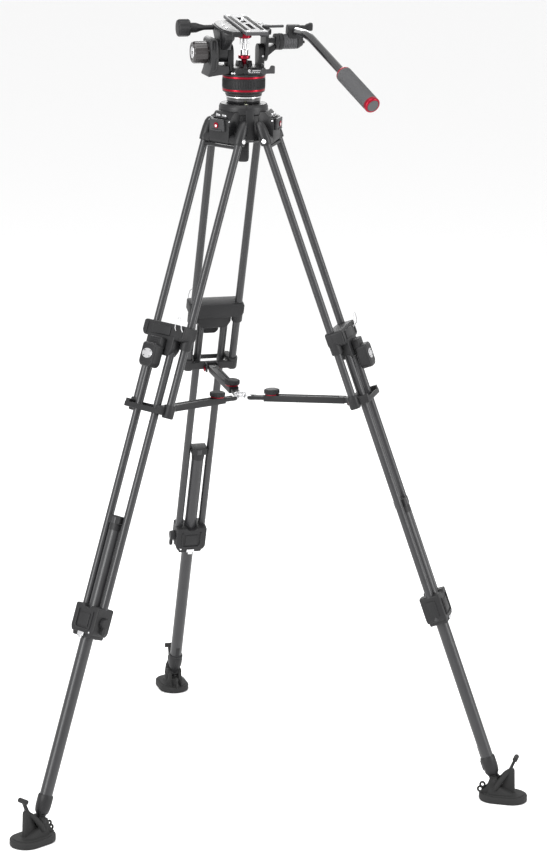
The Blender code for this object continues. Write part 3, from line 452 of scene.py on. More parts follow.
level_at = crown_at @ at(rz=262) @ at(47, 0, 66)
vial = Form(level_at).turned(soften([(0, 0), (6.6, 0), (6.6, 8.6), (5.2, 8.6), (5.2, 7.4), (0, 7.4)], 0.4,
                                    closed=False))
vial.piece("level_housing", "crown", black_moulding)
liquid = Finish("level_liquid", "steel", {"Roughness": 0.05, "Coat Weight": 1.0})
liquid.feed("Base Color", liquid.mixed(liquid.noise(60), (0.55, 0.62, 0.2), (0.68, 0.74, 0.34)))
dome = Form(level_at).turned([(0, 8.7), (1.5, 8.6), (3, 8.3), (4.4, 7.8), (5.1, 7.2), (0, 7.1)])
dome.piece("level_dome", "crown", liquid)
# White print for the marks, ticks and dot centres, also used for the painted highlight on the level's bubble.
white_ink_and_highlight = grained("white_ink_and_highlight", "steel", (0.7, 0.7, 0.7), (0.82, 0.82, 0.82), 0.5, 900, 0.00002)
# The white ring on the level's dome is a painted highlight where the bubble shows, not print.
bubble_highlight = Form(level_at).turned([(1.9, 8.66), (2.3, 8.75), (2.3, 8.5), (1.9, 8.4)], ring=True, steps=24)
bubble_highlight.piece("level_ring", "crown", white_ink_and_highlight)

# ---- Angle levers ------------------------------------------------------------------------------
# Three sprung grey plates that set how far the legs spread. Each is moulded, with a plain red dot
# pressed into it, and turns on a steel pin in its lug.
red_anodised = grained("red_anodised", "red_anodised", (0.2, 0.002, 0.012), (0.28, 0.004, 0.018), 0.3, 1200,
                       0.00002,
                       Metallic=0.75)
for leg, azimuth in LEGS.items():
    lever_at = crown_at @ at(rz=azimuth - 90) @ at(0, 75.1, 44)
    plate = Form(lever_at).slab(soften([(-19, 0), (19, 0), (22, -25), (-22, -25)], 2), 6.5, 1.4,
                                at(0, 4.2, 0, rx=-4) @ UPRIGHT)
    plate.box((-15, 5.5, -25), (15, 8.8, -22), 1, at(rx=-2))
    plate.piece("angle_plate_" + leg, "angle_lever_" + leg, grey_moulding, "angle_lever_" + leg)
    dot = Form(lever_at).turned(soften([(0, 0), (6.4, 0), (6.4, 1), (0, 1)], 0.3, closed=False),
                                at(0, 7.2, -13, rx=-86 - 8))
    dot.piece("angle_dot_" + leg, "angle_lever_" + leg, red_anodised)
    heart = Form(lever_at).turned([(0, 1.1), (2.6, 1.1), (2.6, 0.6), (0, 0.6)], at(0, 7.3, -14, rx=-94),
                                  steps=24)
    heart.piece("angle_dot_centre_" + leg, "angle_lever_" + leg, white_ink_and_highlight)
    pin = Form(crown_at @ at(rz=azimuth - 90)).turned(
        soften([(0, -31), (1.8, -31), (1.8, 31), (0, 31)], 0.4, closed=False), at(0, 72.5, 40, ry=90), steps=16)
    for side in (-1, 1):
        pin.box((side * 9 - 6, 66, 48), (side * 9 + 6, 68, 53), 0.5)
    pin.piece("lever_pin_" + leg, "crown", steel)

# ---- Half ball, clamp cup and handle -----------------------------------------------------------
# The head stands on a 75 mm half ball in black lacquer with a bright flange. A cup below the bowl
# and a moulded handle under it draw the ball down.
lacquer = Finish("black_lacquer", "gloss_black", {"Coat Weight": 0.8, "Coat Roughness": 0.06})
lacquer.feed("Base Color", lacquer.mixed(lacquer.noise(30), (0.006, 0.006, 0.007), (0.012, 0.012, 0.013)))
lacquer.feed("Roughness", lacquer.noise(200) * 0.08 + 0.18)
lacquer.relief(lacquer.noise(420), 0.00001)
head_at = crown_at @ at(z=85.5)
ball = Form(head_at).turned(
    [(0, 0)] + arc(37.3, 0, -78, 24) + [(6, -37), (6, -66), (0, -66)], steps=72)
ball.piece("half_ball_shell", "ball", lacquer, "half_ball")
flange = Form(head_at).turned(soften([(30, 3.3), (39.2, 3.3), (39.8, 2.6), (39.8, 0.6), (38.6, 0.2),
                                      (30, 0.2)], 0.4),
                              ring=True, steps=72)
flange.piece("ball_flange", "ball", steel)
cup = Form(head_at).turned(soften([
    (21.5, -43.5), (19.5, -44.6), (14, -46.7), (14, -42.8), (19.5, -40.6)], 0.6), ring=True)
cup.piece("ball_clamp_cup", "clamp_cup", powder_coat, "clamp_cup")
handle = Form(head_at).loft([
    (20, 20, 9.9, 0, 0, -49.3), (18, 18, 8.9, 0, 0, -56), (16, 16, 7.9, 0, 0, -76), (20, 15, 7, 0, 0, -84),
    (25, 17, 5, 0, 0, -90), (26, 18, 5, 0, 0, -96), (26, 18, 5, 0, 0, -132), (23, 15, 5, 0, 0, -139),
    (17, 10, 4.5, 0, 0, -141.2)], at(rz=-15))
for side in (-1, 1):
    for lift in (-126, -120, -114, -108):
        handle.box((-10, side * 8.4 - 0.7, lift), (10, side * 8.4 + 0.7, lift + 2.5), 0.6, at(rz=-15))
handle.piece("tie_down_grip", "tie_down_handle", black_moulding, "tie_down_handle")

# ---- Upper legs --------------------------------------------------------------------------------
# Two woven carbon tubes are bonded into a black casting that hinges on the crown's lug.
# The weave shows only as a soft pattern under the satin clear coat.
carbon = Finish("carbon_tube", "carbon", {"Coat Weight": 0.15, "Coat Roughness": 0.3,
                                          "Specular IOR Level": 0.4})
surface = carbon.where("UV")
parts = carbon.node("ShaderNodeSeparateXYZ", {}, {0: surface})
around, along = Value(carbon, parts.socket.node.outputs[0]), Value(carbon, parts.socket.node.outputs[1])
twill = ((around + along) * 1500).sine() * ((around - along) * 1500).sine()
carbon.feed("Base Color", carbon.mixed(twill * 0.3 + carbon.noise(40, 3) * 0.5 + 0.2, (0.008, 0.008, 0.009),
                                       (0.026, 0.026, 0.028)))
carbon.feed("Roughness", twill * 0.05 + carbon.noise(500) * 0.1 + 0.32)
carbon.relief(twill, 0.00003)


LEG_LEAN = 20.1
def leg_place(leg):
    """The leg's own frame: X along its hinge, Y outwards, Z up the leg."""
    return PAN_AXIS @ at(rz=LEGS[leg] - 90) @ at(0, 63, HINGE_HEIGHT, rx=LEG_LEAN)


def tube(form, x, y, top, low, radius, steps=32, edge=0.6):
    profile = [(0, top), (radius - edge, top), (radius, top - edge), (radius, low + edge),
               (radius - edge, low), (0, low)]
    return form.turned(profile, at(x, y), steps=steps)


UPPER_TUBE_SIDE = 51.5
for leg in LEGS:
    upper = leg_place(leg)
    tubes = Form(upper)
    for side in (-1, 1):
        tube(tubes, side * UPPER_TUBE_SIDE, 0, 0, -609.5, 8.5)
    tubes.piece("upper_tubes_" + leg, f"leg_{leg}_upper", carbon, leg + "_upper_frame")
    casting = Form(upper)
    for side in (-1, 1):
        x = side * UPPER_TUBE_SIDE
        casting.loft([(9, 9, 4.4, x, -1, 44), (15, 15, 7, x, -1, 41.5), (20, 20, 9, x, 0, 33),
                      (23.6, 23.6, 11, x, 0, 20),
                      (24.8, 24.8, 12, x, 0, 4), (24.4, 24.4, 12, x, 0, -7), (22.6, 22.6, 11.2, x, 0, -9)])
        casting.turned(soften([(0, 0), (11.7, 0), (11.7, 24), (0, 24)], 1.2, closed=False),
                       at(side * 30.7, 0, 0, ry=side * 90), steps=40)
    casting.box((-52, -5.6, -18.8), (52, 5.6, -12.7), 1.6)
    casting.piece("hinge_casting_" + leg, f"leg_{leg}_upper", powder_coat)
    bolts = Form(upper)
    for side in (-1, 1):
        bolts.turned(soften([(0, 0), (5, 0), (5, 1.8), (2.4, 1.8), (2.4, 0.6), (0, 0.6)], 0.3, closed=False),
                     at(side * 63.6, 0, 0, ry=side * 90), steps=24)
    bolts.piece("hinge_bolts_" + leg, f"leg_{leg}_upper", steel)

# ---- Spreader brackets -------------------------------------------------------------------------
# A moulded bracket closes the ends of each pair of upper tubes, guides the middle tubes between its
# cheeks, and carries the spreader arm between two ears with red release tabs.
for leg in LEGS:
    upper = leg_place(leg)
    bracket = Form(upper)
    for side in (-1, 1):
        x = side * UPPER_TUBE_SIDE
        bracket.loft([(22.4, 22.4, 9, x, 0, -582.6), (23.6, 23.6, 10, x, 0, -584.5),
                      (23.6, 23.6, 10, x, 0, -608),
                      (21, 21, 9, x, 0, -611)])
        bracket.wall(soften([(2, -588), (33, -588), (33, -606), (2, -606)], 1.2),
                     *sorted((side * 40, side * 51)), 1)
        bracket.box((side * 13.15 - 1.85, -27, -606), (side * 13.15 + 1.85, -9, -588), 1)
    bracket.slab(soften([(-50, -606.5), (50, -606.5), (50, -590), (40, -588.5), (-40, -588.5), (-50, -590)],
                        2), 9.5, 1.5,
                 at(0, -8, 0) @ UPRIGHT)
    bracket.slab(soften([(-52, -606), (52, -606), (52, -595), (-52, -595)], 2), 3, 0.8, at(0, 32, 0) @ UPRIGHT)
    bracket.turned([(0, -12.9), (3, -12.9), (3, 12.9), (0, 12.9)], at(0, -21, -597, ry=90), steps=20)
    bracket.piece("bracket_moulding_" + leg, f"leg_{leg}_upper", black_moulding, leg + "_bracket")
    tabs = Form(upper)
    for side in (-1, 1):
        tabs.box((side * 17 - 1.2, -23, -606), (side * 17 + 1.2, -14, -597), 0.8)
    tabs.piece("release_tabs_" + leg, f"leg_{leg}_upper", red_anodised)

# ---- Middle collars and their levers -----------------------------------------------------------
# The collar slides on the upper tubes and holds the tops of the middle ones. A moulded cam lever
# with a plain oval badge locks it, and a bent wire bail hangs beside it.
for leg in LEGS:
    upper = leg_place(leg) @ at(z=MIDDLE_IN[leg])
    body = f"leg_{leg}_middle"
    collar = Form(upper)
    collar.slab(soften([(-63.5, -437), (-58, -436), (58, -436), (63.5, -439), (63.5, -462), (56, -470),
                        (-56, -470),
                        (-63.5, -462)], 4), 38, 4, at(0, 7, 0) @ UPRIGHT)
    for side in (-1, 1):
        x = side * UPPER_TUBE_SIDE
        collar.loft([(24, 24, 11.5, x, 0, -440), (24.6, 24.6, 11.8, x, 0, -460), (24.6, 24.6, 12, x, 0, -484),
                     (22.6, 22.6, 11.2, x, 0, -486)])
        collar.box((side * 53 - 4, 25.5, -466), (side * 53 + 4, 27.4, -441), 1.2)
    collar.slab(soften([(-39, -462), (39, -462), (39, -490), (30, -505.5), (-30, -505.5), (-39, -490)], 4),
                26, 3,
                at(0, 14.2, 0) @ UPRIGHT)
    collar.box((-22, 25, -463), (34, 28.2, -443), 2)
    collar.piece("collar_moulding_" + leg, body, black_moulding, leg + "_collar")

    lever_at = upper @ at(0, 27.8, -470)
    lever = Form(lever_at)
    lever.box((-19.5, -1, -22), (19.5, 16, 0), 3)
    lever.slab(soften([(-21, -20), (-17, -16), (17, -16), (21, -20), (21, -60), (14, -68), (-14, -68),
                       (-21, -60)], 4), 26.5,
               4, at(0, 15.6, 0) @ UPRIGHT)
    lever.bar(soften([(-17, 28, -20.5), (17, 28, -20.5), (17, 28, -60), (-17, 28, -60)], 5, 5), 1.6,
              steps=10, closed=True)
    for step in range(3):
        lever.box((-15, 14.4, -3.5 - step * 4.2), (15, 16.8, -1.6 - step * 4.2), 0.6)
    lever.piece("collar_cam_" + leg, "collar_lever_" + leg, black_moulding, leg + "_collar_lever")
    badge = Form(lever_at)
    oval = [(14.6 * math.cos(math.tau * i / 40), 10.6 * math.sin(math.tau * i / 40) - 40) for i in range(40)]
    badge.slab(oval, 1.2, 0.4, at(0, 28.8, 0) @ UPRIGHT, steps=2)
    badge.piece("collar_badge_" + leg, "collar_lever_" + leg, steel)
    heads = Form(lever_at)
    screw = Form(Matrix()).turned([(0, 0.9), (0.9, 0.8), (1.2, 0.3), (1.2, 0), (0, 0)], at(rx=-90), steps=12)
    row = Form(Matrix()).copies(screw, 2, steel, step=(17, 0, 0))
    heads.copies(row, 2, steel, step=(0, 0, 11), place=at(-8.5, 29.4, -45.5))
    heads.piece("badge_screws_" + leg, "collar_lever_" + leg, black_moulding)
    bail = Form(upper)
    bail.bar([(-58, 27, -449), (-58, 33, -444), (-57, 36, -434), (-54, 38, -424), (-48, 38, -420),
              (-42, 37, -424),
              (-39, 35, -434), (-38, 32, -444), (-38, 27.5, -449)], 1.1, steps=10)
    bail.piece("collar_bail_" + leg, body, steel)

# ---- Middle legs and lower locks ---------------------------------------------------------------
# Two more carbon tubes end in a boxy moulded lock, which grips the single lower tube. It has a
# raised U-shaped panel on its face, a ribbed lever at its side and a bright clip below.
MIDDLE_TUBE_SIDE = 27.5
STAGE_DEPTH = 14.5
for leg in LEGS:
    upper = leg_place(leg) @ at(z=MIDDLE_IN[leg])
    body = f"leg_{leg}_middle"
    tubes = Form(upper)
    for side in (-1, 1):
        tube(tubes, side * MIDDLE_TUBE_SIDE, STAGE_DEPTH, -446.5, -1117, 8.5)
    tubes.piece("middle_tubes_" + leg, body, carbon)
    lock = Form(upper)
    lock.slab(soften([(-36, -1062), (-32, -1060), (-12, -1060), (-8, -1066), (8, -1066), (12, -1060),
                      (32, -1060),
                      (36, -1062), (36, -1112), (31, -1122), (-31, -1122), (-36, -1112)], 4), 46, 4.5,
              at(0, 14, 0) @ UPRIGHT)
    lock.slab(soften([(-30, -1116), (30, -1116), (27, -1129.5), (-27, -1129.5)], 3), 40, 2.5,
              at(0, 14, 0) @ UPRIGHT)
    for face in (-9.6, 37.6):
        lock.bar(soften([(-22, face, -1072), (-22, face, -1112), (22, face, -1112), (22, face, -1072)], 8, 5,
                        closed=False), 1.9, steps=10)
        lock.box((-15, face - 1, -1106), (15, face + 1, -1078), 0.8)
    lock.box((36, 4, -1108), (38, 25, -1072), 0.9)
    lock.piece("lock_moulding_" + leg, body, black_moulding, leg + "_middle_frame")
    clip = Form(upper)
    for face, out in ((-9.4, -1), (37.4, 1)):
        clip.box((-9, face - 1.1, -1127), (9, face + 1.1, -1119), 0.8)
        clip.box((-5, face - 0.9, -1133), (5, face + 0.9, -1126), 0.8)
        clip.turned(soften([(0, 0), (2.2, 0), (2.2, 1), (0, 1)], 0.3, closed=False),
                    at(-24, face, -1117, rx=-90 * out), steps=16)
    clip.piece("lock_clip_" + leg, body, steel)
    lever_at = upper @ at(-36.3, STAGE_DEPTH, -1091)
    lever = Form(lever_at)
    lever.turned(soften([(0, 0), (12, 0), (10.6, 11), (0, 11)], 1, closed=False), at(ry=-90), flutes=18,
                 depth=0.7,
                 from_radius=10, steps=108)
    lever.loft([(7, 7, 2.5, -7, 0, 0), (7.5, 8, 2.5, -7, 0, -12), (8, 9, 2.5, -7, 0, -24),
                (6, 7, 2.5, -7, 0, -27)])
    lever.piece("lock_turn_lever_" + leg, "lock_lever_" + leg, black_moulding, leg + "_lock_lever")

# ---- Lower legs --------------------------------------------------------------------------------
# One thick carbon tube, with a moulded guide that runs between the middle tubes at its top and the
# moulded clevis of the foot at its bottom.
FOOT_DROP = 1507
for leg in LEGS:
    upper = leg_place(leg)
    body = f"leg_{leg}_lower"
    tube(Form(upper), 0, STAGE_DEPTH, -841, -1484, 14, steps=48).piece("lower_tube_" + leg, body, carbon,
                                                                       leg + "_lower_tube")
    guide = Form(upper)
    guide.slab(soften([(-18.3, -838), (18.3, -838), (18.3, -854), (14, -856), (-14, -856), (-18.3, -854)],
                      2), 26, 2,
               at(0, STAGE_DEPTH, 0) @ UPRIGHT)
    guide.loft([(29, 29, 14.4, 0, STAGE_DEPTH, -855), (30, 30, 14.9, 0, STAGE_DEPTH, -862),
                (29, 29, 14.4, 0, STAGE_DEPTH, -870)])
    guide.piece("guide_cap_" + leg, body, black_moulding)
    clevis = Form(upper)
    clevis.loft([(31, 31, 15.4, 0, STAGE_DEPTH, -1452), (33.6, 33.6, 16.7, 0, STAGE_DEPTH, -1455),
                 (34, 34, 16.9, 0, STAGE_DEPTH, -1466),
                 (33, 33, 16, 0, STAGE_DEPTH, -1480), (26, 30, 12, 0, STAGE_DEPTH, -1490),
                 (15.8, 22, 6, 0, STAGE_DEPTH, -1496),
                 (15.8, 19, 6, 0, STAGE_DEPTH, -FOOT_DROP)])
    clevis.turned(soften([(0, -8), (10, -8), (10, 8), (0, 8)], 1, closed=False),
                  at(0, STAGE_DEPTH, -FOOT_DROP, ry=90), steps=32)
    clevis.box((-5, -3.4, -1480), (5, -1.4, -1458), 0.8)
    clevis.box((-4.5, 0.2, -1450), (4.5, 2.4, -1425), 0.8)
    clevis.piece("foot_clevis_" + leg, body, black_moulding)

# ---- Rubber shoes ------------------------------------------------------------------------------
# A thick moulded rubber shoe turns on the clevis. A forked strap leans outwards to a T-shaped tip in
# front of a tongue, and two small loops at the other end pull the shoe off.
rubber = grained("shoe_rubber", "rubber", (0.009, 0.009, 0.009), (0.019, 0.019, 0.019), 0.72, 420, 0.00016,
                 Specular_IOR_Level=0.25)
for leg in LEGS:
    shoe_place = leg_place(leg) @ at(0, STAGE_DEPTH, -FOOT_DROP) @ at(rx=-LEG_LEAN)
    low = -shoe_place.translation.z             # the floor, below the shoe's pivot
    shoe = Form(shoe_place)
    sole = soften(arc(36, 0, 180, 16, 0, 18) + arc(36, 180, 360, 16, 0, -18), 3)
    outwards = at(0, 20)
    shoe.slab(sole, 15.5, 3.2, outwards @ at(z=low + 7.9))
    shoe.slab([(0.86 * x, 0.88 * y) for x, y in sole], 5, 2, outwards @ at(z=low + 15.5))
    shoe.loft([(46, 78, 22, 0, 16, low + 15), (38, 60, 16, 0, 12, low + 21), (33, 36, 12, 0, 2, low + 32)])
    for side in (-1, 1):
        shoe.wall(soften([(-22, low + 14), (22, low + 14), (13, low + 34), (9, 6)] + arc(9.5, 0, 180, 8)
                         + [(-9, 6), (-15, low + 34)], 2), *sorted((side * 8.8, side * 15.8)), 1.6)
        shoe.turned(soften([(0, 0), (6.5, 0), (6, 2), (0, 2)], 0.6, closed=False),
                    at(side * 15.6, 0, 0, ry=side * 90),
                    steps=28)
        shoe.wall(soften([(-30, low + 17), (-8, low + 17), (-8, low + 40)], 1.5),
                  *sorted((side * 11, side * 14)), 1)
    # The strap forks round the clevis, and its neck leans outwards to the tip.
    for side in (-1, 1):
        shoe.bar([(side * 15, 4, low + 26), (side * 14.5, 11, low + 42), (side * 10, 22, low + 58),
                  (side * 3, 30, low + 68)],
                 [5.5, 6.5, 5.5, 4.5], steps=12)
    shoe.loft([(15, 9, 4, 0, 29, low + 62), (11, 8, 3.5, 0, 35, low + 74), (10, 7.5, 3.4, 0, 40, low + 86),
               (10, 7.5, 3.4, 0, 45, low + 98)])
    shoe.bar([(-12, 46, low + 100), (-11.4, 46, low + 100), (11.4, 46, low + 100), (12, 46, low + 100)],
             [3.4, 5.6, 5.6, 3.4], steps=20)
    shoe.wall(soften([(12, low + 16), (46, low + 16), (44, low + 72), (36, low + 80), (24, low + 66)], 3),
              -6, 6, 2)
    for height, far in ((20, 32), (31, 27)):
        loop = [(0, -far + 5.2 * math.cos(math.tau * i / 20), low + height + 5.6 * math.sin(math.tau * i / 20))
                for i in range(20)]
        shoe.bar(loop, 2.4, steps=10, closed=True)
    shoe.piece("rubber_shoe_" + leg, "shoe_" + leg, rubber, leg + "_shoe")
    axle = Form(shoe_place).turned(soften([(0, -17.9), (3, -17.9), (3, 17.9), (0, 17.9)], 0.5, closed=False),
                                   at(ry=90), steps=20)
    axle.piece("shoe_pin_" + leg, "shoe_" + leg, black_moulding)

# ---- Spreader ----------------------------------------------------------------------------------
# Three telescopic arms of black extrusion meet at a bright hub with a pull ring. A round knob with
# a red collar locks each arm's length.
arm_slope = math.degrees(math.atan2(10, 226.5))
arm_length = math.hypot(226.5, 10)
for leg, azimuth in LEGS.items():
    arm_at = PAN_AXIS @ at(rz=azimuth - 90) @ at(0, 248.5, 889.1, rx=arm_slope)
    end = arm_length - 33
    channel = Form(arm_at)
    for side in (-1, 1):
        channel.box((side * 9.7 - 1.2, -end, -7), (side * 9.7 + 1.2, -11, 7), 0.7)
        channel.box((side * 7.2 - 2.4, -end, 5), (side * 7.2 + 2.4, -20, 7), 0.7)
    channel.box((-10, -end, -7), (10, -11, -5.2), 0.7)
    channel.box((-6, -end, 4), (6, -18, 5.8), 0.6)
    channel.slab(soften([(-10, -14), (10, -14), (9, 2.6), (-9, 2.6)], 2), 12, 2)
    channel.box((-10.8, -26, -7), (10.8, -12, 7), 1.5)
    channel.piece("arm_extrusion_" + leg, "arm_" + leg, black_moulding, leg + "_arm_channel")
    blade = Form(arm_at).box((-8, -arm_length + 9, -4.2), (8, -100, 4.2), 0.8)
    for side in (-1, 1):
        blade.wall(soften(arc(4.4, 90, 270, 8, -arm_length, 0) + [(-arm_length + 12, -4.4),
                                                                  (-arm_length + 12, 4.4)], 0.4),
                   *sorted((side * 4.5, side * 8.2)), 0.6)
    blade.piece("arm_inner_blade_" + leg, "blade_" + leg, powder_coat, leg + "_arm_blade")
    knob_at = arm_at @ at(0, -end + 17, 7.3)
    knob = Form(knob_at).turned(soften([(0, 13), (13, 13), (17.2, 11), (17.2, 3), (14.5, 2), (0, 2)], 1.2,
                                       closed=False),
                                flutes=30, depth=0.8, from_radius=15.6, steps=180)
    knob.piece("arm_lock_knob_" + leg, "arm_knob_" + leg, black_moulding, leg + "_arm_knob")
    ring = Form(knob_at).turned(soften([(9, 0.1), (15, 0.1), (15, 1.9), (9, 1.9)], 0.4), ring=True)
    ring.piece("arm_knob_ring_" + leg, "arm_knob_" + leg, red_anodised)
hub_at = PAN_AXIS @ at(z=879.1)
hub = Form(hub_at).turned(soften([(7, 5), (12, 5), (12, -5), (7, -5)], 1), ring=True, steps=48)
for azimuth in LEGS.values():
    turn = at(rz=azimuth - 90)
    hub.box((-2.7, 6, -4), (2.7, 25, 4), 1.2, turn)
    hub.turned(soften([(0, -8), (1.6, -8), (1.6, 8), (0, 8)], 0.4, closed=False),
               turn @ at(0, 22, 0, ry=90), steps=20)
ring_line = [(13 * math.cos(math.tau * i / 36), 13 * math.sin(math.tau * i / 36), 6.4) for i in range(36)]
hub.bar(ring_line, 1.3, steps=10, closed=True)
hub.piece("spreader_centre", "blade_right", steel, "spreader_hub")

# ---- Head: pan base and drag ring --------------------------------------------------------------
# The head's round base is turned aluminium with two thin red anodised rings. The ring between them
# is moulded with fine ribs and sets the pan drag.
base = Form(head_at)
base.turned(soften([(30, 3.9), (38, 3.9), (39.5, 5), (39.8, 9), (45.6, 12.4), (45.6, 14.6), (30, 14.6)],
                   0.6), ring=True,
            steps=96)
base.turned([(0, 42), (29.8, 42), (29.8, 14), (0, 14)])
base.piece("pan_base_collar", "ball", powder_coat, "pan_base")
lower_ring = Form(head_at).turned(soften([(31, 14.7), (46.2, 14.7), (46.2, 18.9), (31, 18.9)], 0.6),
                                  ring=True, steps=96)
lower_ring.piece("pan_lower_ring", "ball", red_anodised)
drum = Form(head_at).turned(soften([(30.7, 19.3), (46.4, 19.3), (46.4, 21.2), (45.5, 21.8), (45.5, 39.2),
                                    (46.4, 39.8),
                                    (46.4, 41.7), (30.7, 41.7)], 0.4), ring=True, steps=96)
rib = Form(Matrix()).box((-0.9, -0.85, -8.8), (1, 0.85, 8.8), 0.5, steps=2)
drum.copies(rib, 84, black_moulding, radius=45.6, place=at(z=30.5))
drum.piece("pan_drag_drum", "drag_ring", black_moulding, "pan_drag_ring")

# ---- Head: pan body ----------------------------------------------------------------------------
# A black casting with a red-edged disc, a small control panel at the back, a cone round the
# spring's foot and two round-topped uprights that carry the tilting cradle.
upper_ring = Form(head_at).turned(soften([(20, 42.5), (46.2, 42.5), (46.2, 46.6), (20, 46.6)], 0.6),
                                  ring=True, steps=96)
upper_ring.piece("pan_upper_ring", "pan", red_anodised)
body = Form(head_at)
body.turned(soften([(0, 52.5), (41.5, 52.5), (45.6, 49.5), (45.6, 46.7), (0, 46.7)], 1, closed=False), steps=96)
body.loft([(72, 72, 8, 4, 0, 50), (72, 72, 8, 4, 0, 60), (68, 66, 8, 4, 0, 65), (60, 56, 8, 4, 0, 66.5)])
for side in (-1, 1):
    body.wall(soften([(-18, 64), (18, 64), (16, 69), (10, 78), (-10, 78), (-16, 69)], 2),
              *sorted((side * 6.8, side * 15)), 2)
upright = soften([(-17, 49), (17, 49)] + arc(17, 0, 180, 14, 0, 97), 1)
for low_x, high_x in ((-40, -27), (29, 40.9)):
    body.wall(upright, low_x, high_x, 2.5)
    middle = (low_x + high_x) / 2
    body.wall(soften([(-26, 58), (-10, 58), (-10, 86)], 2), middle - 3, middle + 3, 1.2)
body.slab(soften([(-13, 54), (0, 54), (-5, 74), (-8, 74)], 1.2), 4, 1, at(0, -35, 0) @ UPRIGHT)
body.wall(soften([(-39, 50), (-34, 50), (-34, 66), (-39, 62)], 1), -10, 38, 1)
body.turned(soften([(0, 36), (6.8, 36), (6.8, 50), (0, 50)], 0.8, closed=False), at(z=97, ry=90), steps=36)
body.piece("pan_casting", "pan", powder_coat, "pan_body")
panel = Form(head_at).slab(soften([(-2, 52.5), (34, 52.5), (34, 63), (-2, 63)], 1.5), 1.4, 0.4,
                           at(0, -39.4, 0) @ UPRIGHT)
panel.piece("control_panel", "pan", grey_moulding)
marks = Form(head_at)
mark = Form(Matrix()).box((-1.6, -0.2, -0.35), (1.6, 0.2, 0.35), 0.1, steps=1)
marks.copies(mark, 6, white_ink_and_highlight, step=(5, 0, 0), place=at(3, -40.2, 56))
marks.turned([(1.7, 0.2), (2.5, 0.2), (2.5, -0.3), (1.7, -0.3)], at(1, -40.1, 60, rx=90), steps=32, ring=True)
marks.box((8, -40.3, 59.4), (30, -39.9, 60.2), 0.1)
marks.piece("panel_marks", "pan", white_ink_and_highlight)
screws = Form(head_at)
for x, z in ((-36, 55), (-31, 55), (37, 70), (37, 88)):
    screws.turned(soften([(0, 0), (2.2, 0), (2.2, 1.4), (1.2, 1.4), (1.2, 0.5), (0, 0.5)], 0.2, closed=False),
                  at(x, -17 if z > 60 else -36, z, rx=90), steps=20)
screws.piece("pan_screws", "pan", steel)

# ---- Head: counterbalance housing and knob -----------------------------------------------------
# A smooth charcoal moulding covers the tilt cartridge on the left. Its big glossy knob has a
# turned metal disc in its face; a U-shaped ridge stands above and behind it.
charcoal = grained("charcoal_moulding", "black_plastic", (0.012, 0.012, 0.0125), (0.022, 0.022, 0.023),
                   0.46, 1300,
                   0.00005, Specular_IOR_Level=0.3)
housing_line = soften([(-40.5, 52.8), (-62, 50.6), (-86, 47), (-87, 50), (-82.6, 62), (-79.6, 78),
                       (-80.6, 96), (-83, 112),
                       (-83, 124), (-75, 130.5), (-63.8, 125), (-63.8, 72.5), (-58, 70), (-40.5, 69.5)], 5, 4)
housing = Form(head_at).slab(housing_line, 62, 7, UPRIGHT, steps=5)
housing.turned([(0, 33), (7, 33), (7, 68), (0, 68)], at(z=97, ry=-90))
housing.bar(soften([(-80, -31.5, 106), (-80, -32.5, 126), (-68, -32.5, 126), (-67.5, -31.5, 98)], 6, 6,
                   closed=False),
            2.3, steps=12)
housing.bar(soften([(-77.5, -30, 58), (-70, -32, 62), (-68, -31.6, 86)], 9, 6, closed=False), 1.6, steps=10)
housing.piece("counterbalance_housing", "pan", charcoal, "side_housing")
slot_pocket = Form(head_at).box((-76, -33.4, 104), (-71.5, -30, 122), 1.4)
slot_pocket.piece("housing_pocket", "pan", black_moulding)
polished = grained("polished_moulding", "black_plastic", (0.014, 0.012, 0.012), (0.022, 0.019, 0.019), 0.27,
                   700, 0.00001)
side_knob_at = head_at @ at(-82.3, 0, 97, ry=-90)
knob = Form(side_knob_at)
knob.turned(soften([(0, 0), (22.4, 0), (24, 2.5), (24, 29), (21.5, 33), (17, 33), (16.5, 31.4), (0, 31.4)], 1.2,
                   closed=False), steps=144, flutes=12, depth=0.9, from_radius=23)
knob.piece("counterbalance_grip", "counterbalance_knob", polished, "counterbalance_knob")
face = Form(side_knob_at).turned(soften([(0, 32.4), (9.5, 32.4), (12.5, 33), (13, 31.5), (0, 31.5)], 0.4,
                                        closed=False))
face.piece("counterbalance_disc", "counterbalance_knob", steel)
hub_dot = Form(side_knob_at).turned(soften([(0, 33), (3.4, 33), (3.6, 32), (0, 32)], 0.2, closed=False),
                                    steps=32)
hub_dot.piece("counterbalance_centre", "counterbalance_knob", polished)

pan_lock = Form(head_at @ at(33, -36.3, 58))
pan_lock.turned(soften([(0, 0), (6.8, 0), (6.8, 8), (5.5, 9), (0, 9)], 0.6, closed=False), at(rx=90), steps=32)
pan_lock.slab(soften([(0, -5), (14, -4.5), (24, -5), (24, 12), (16, 13), (12, 5), (0, 5)], 2.5), 6.6, 1.6,
              at(0, -5.4, 0) @ UPRIGHT)
pan_lock.piece("pan_lock_paddle", "pan_lock_lever", grey_moulding, "pan_lock_lever")

# ---- Head: the gas spring ----------------------------------------------------------------------
# The counterbalance spring stands in the middle: a bright sleeve in a red disc below, and a red cap
# with bright rods above.
foot = Form(head_at @ at(z=54, rx=2.5))
foot.turned(soften([(5.7, 28), (13, 28), (13, 35.7), (5.7, 35.7)], 1.2), ring=True)
foot.turned(soften([(0, -4), (6, -4), (6, 25), (9, 27.8), (0, 27.8)], 0.6, closed=False))
foot.piece("spring_red_disc", "spring_foot", red_anodised, "spring_foot")
sleeve = Form(head_at @ at(z=54, rx=2.5)).turned(soften([(5.6, 36), (8.4, 36), (8.4, 48), (5.6, 48)], 0.7),
                                                 ring=True)
sleeve.piece("spring_sleeve", "spring_foot", steel)
tilt_at = head_at @ at(z=97, rx=5)
cap_at = tilt_at @ at(z=43, rx=-2.5)
cap = Form(cap_at).turned(soften([(0, -1), (12.5, -1), (15, -3), (15, -12), (12, -14), (0, -14)], 1,
                                 closed=False))
cap.piece("spring_red_cap", "spring_cap", red_anodised, "spring_cap")
rods = Form(cap_at)
rods.turned([(0, -14.2), (4.8, -14.2), (4.8, -41), (0, -41)])
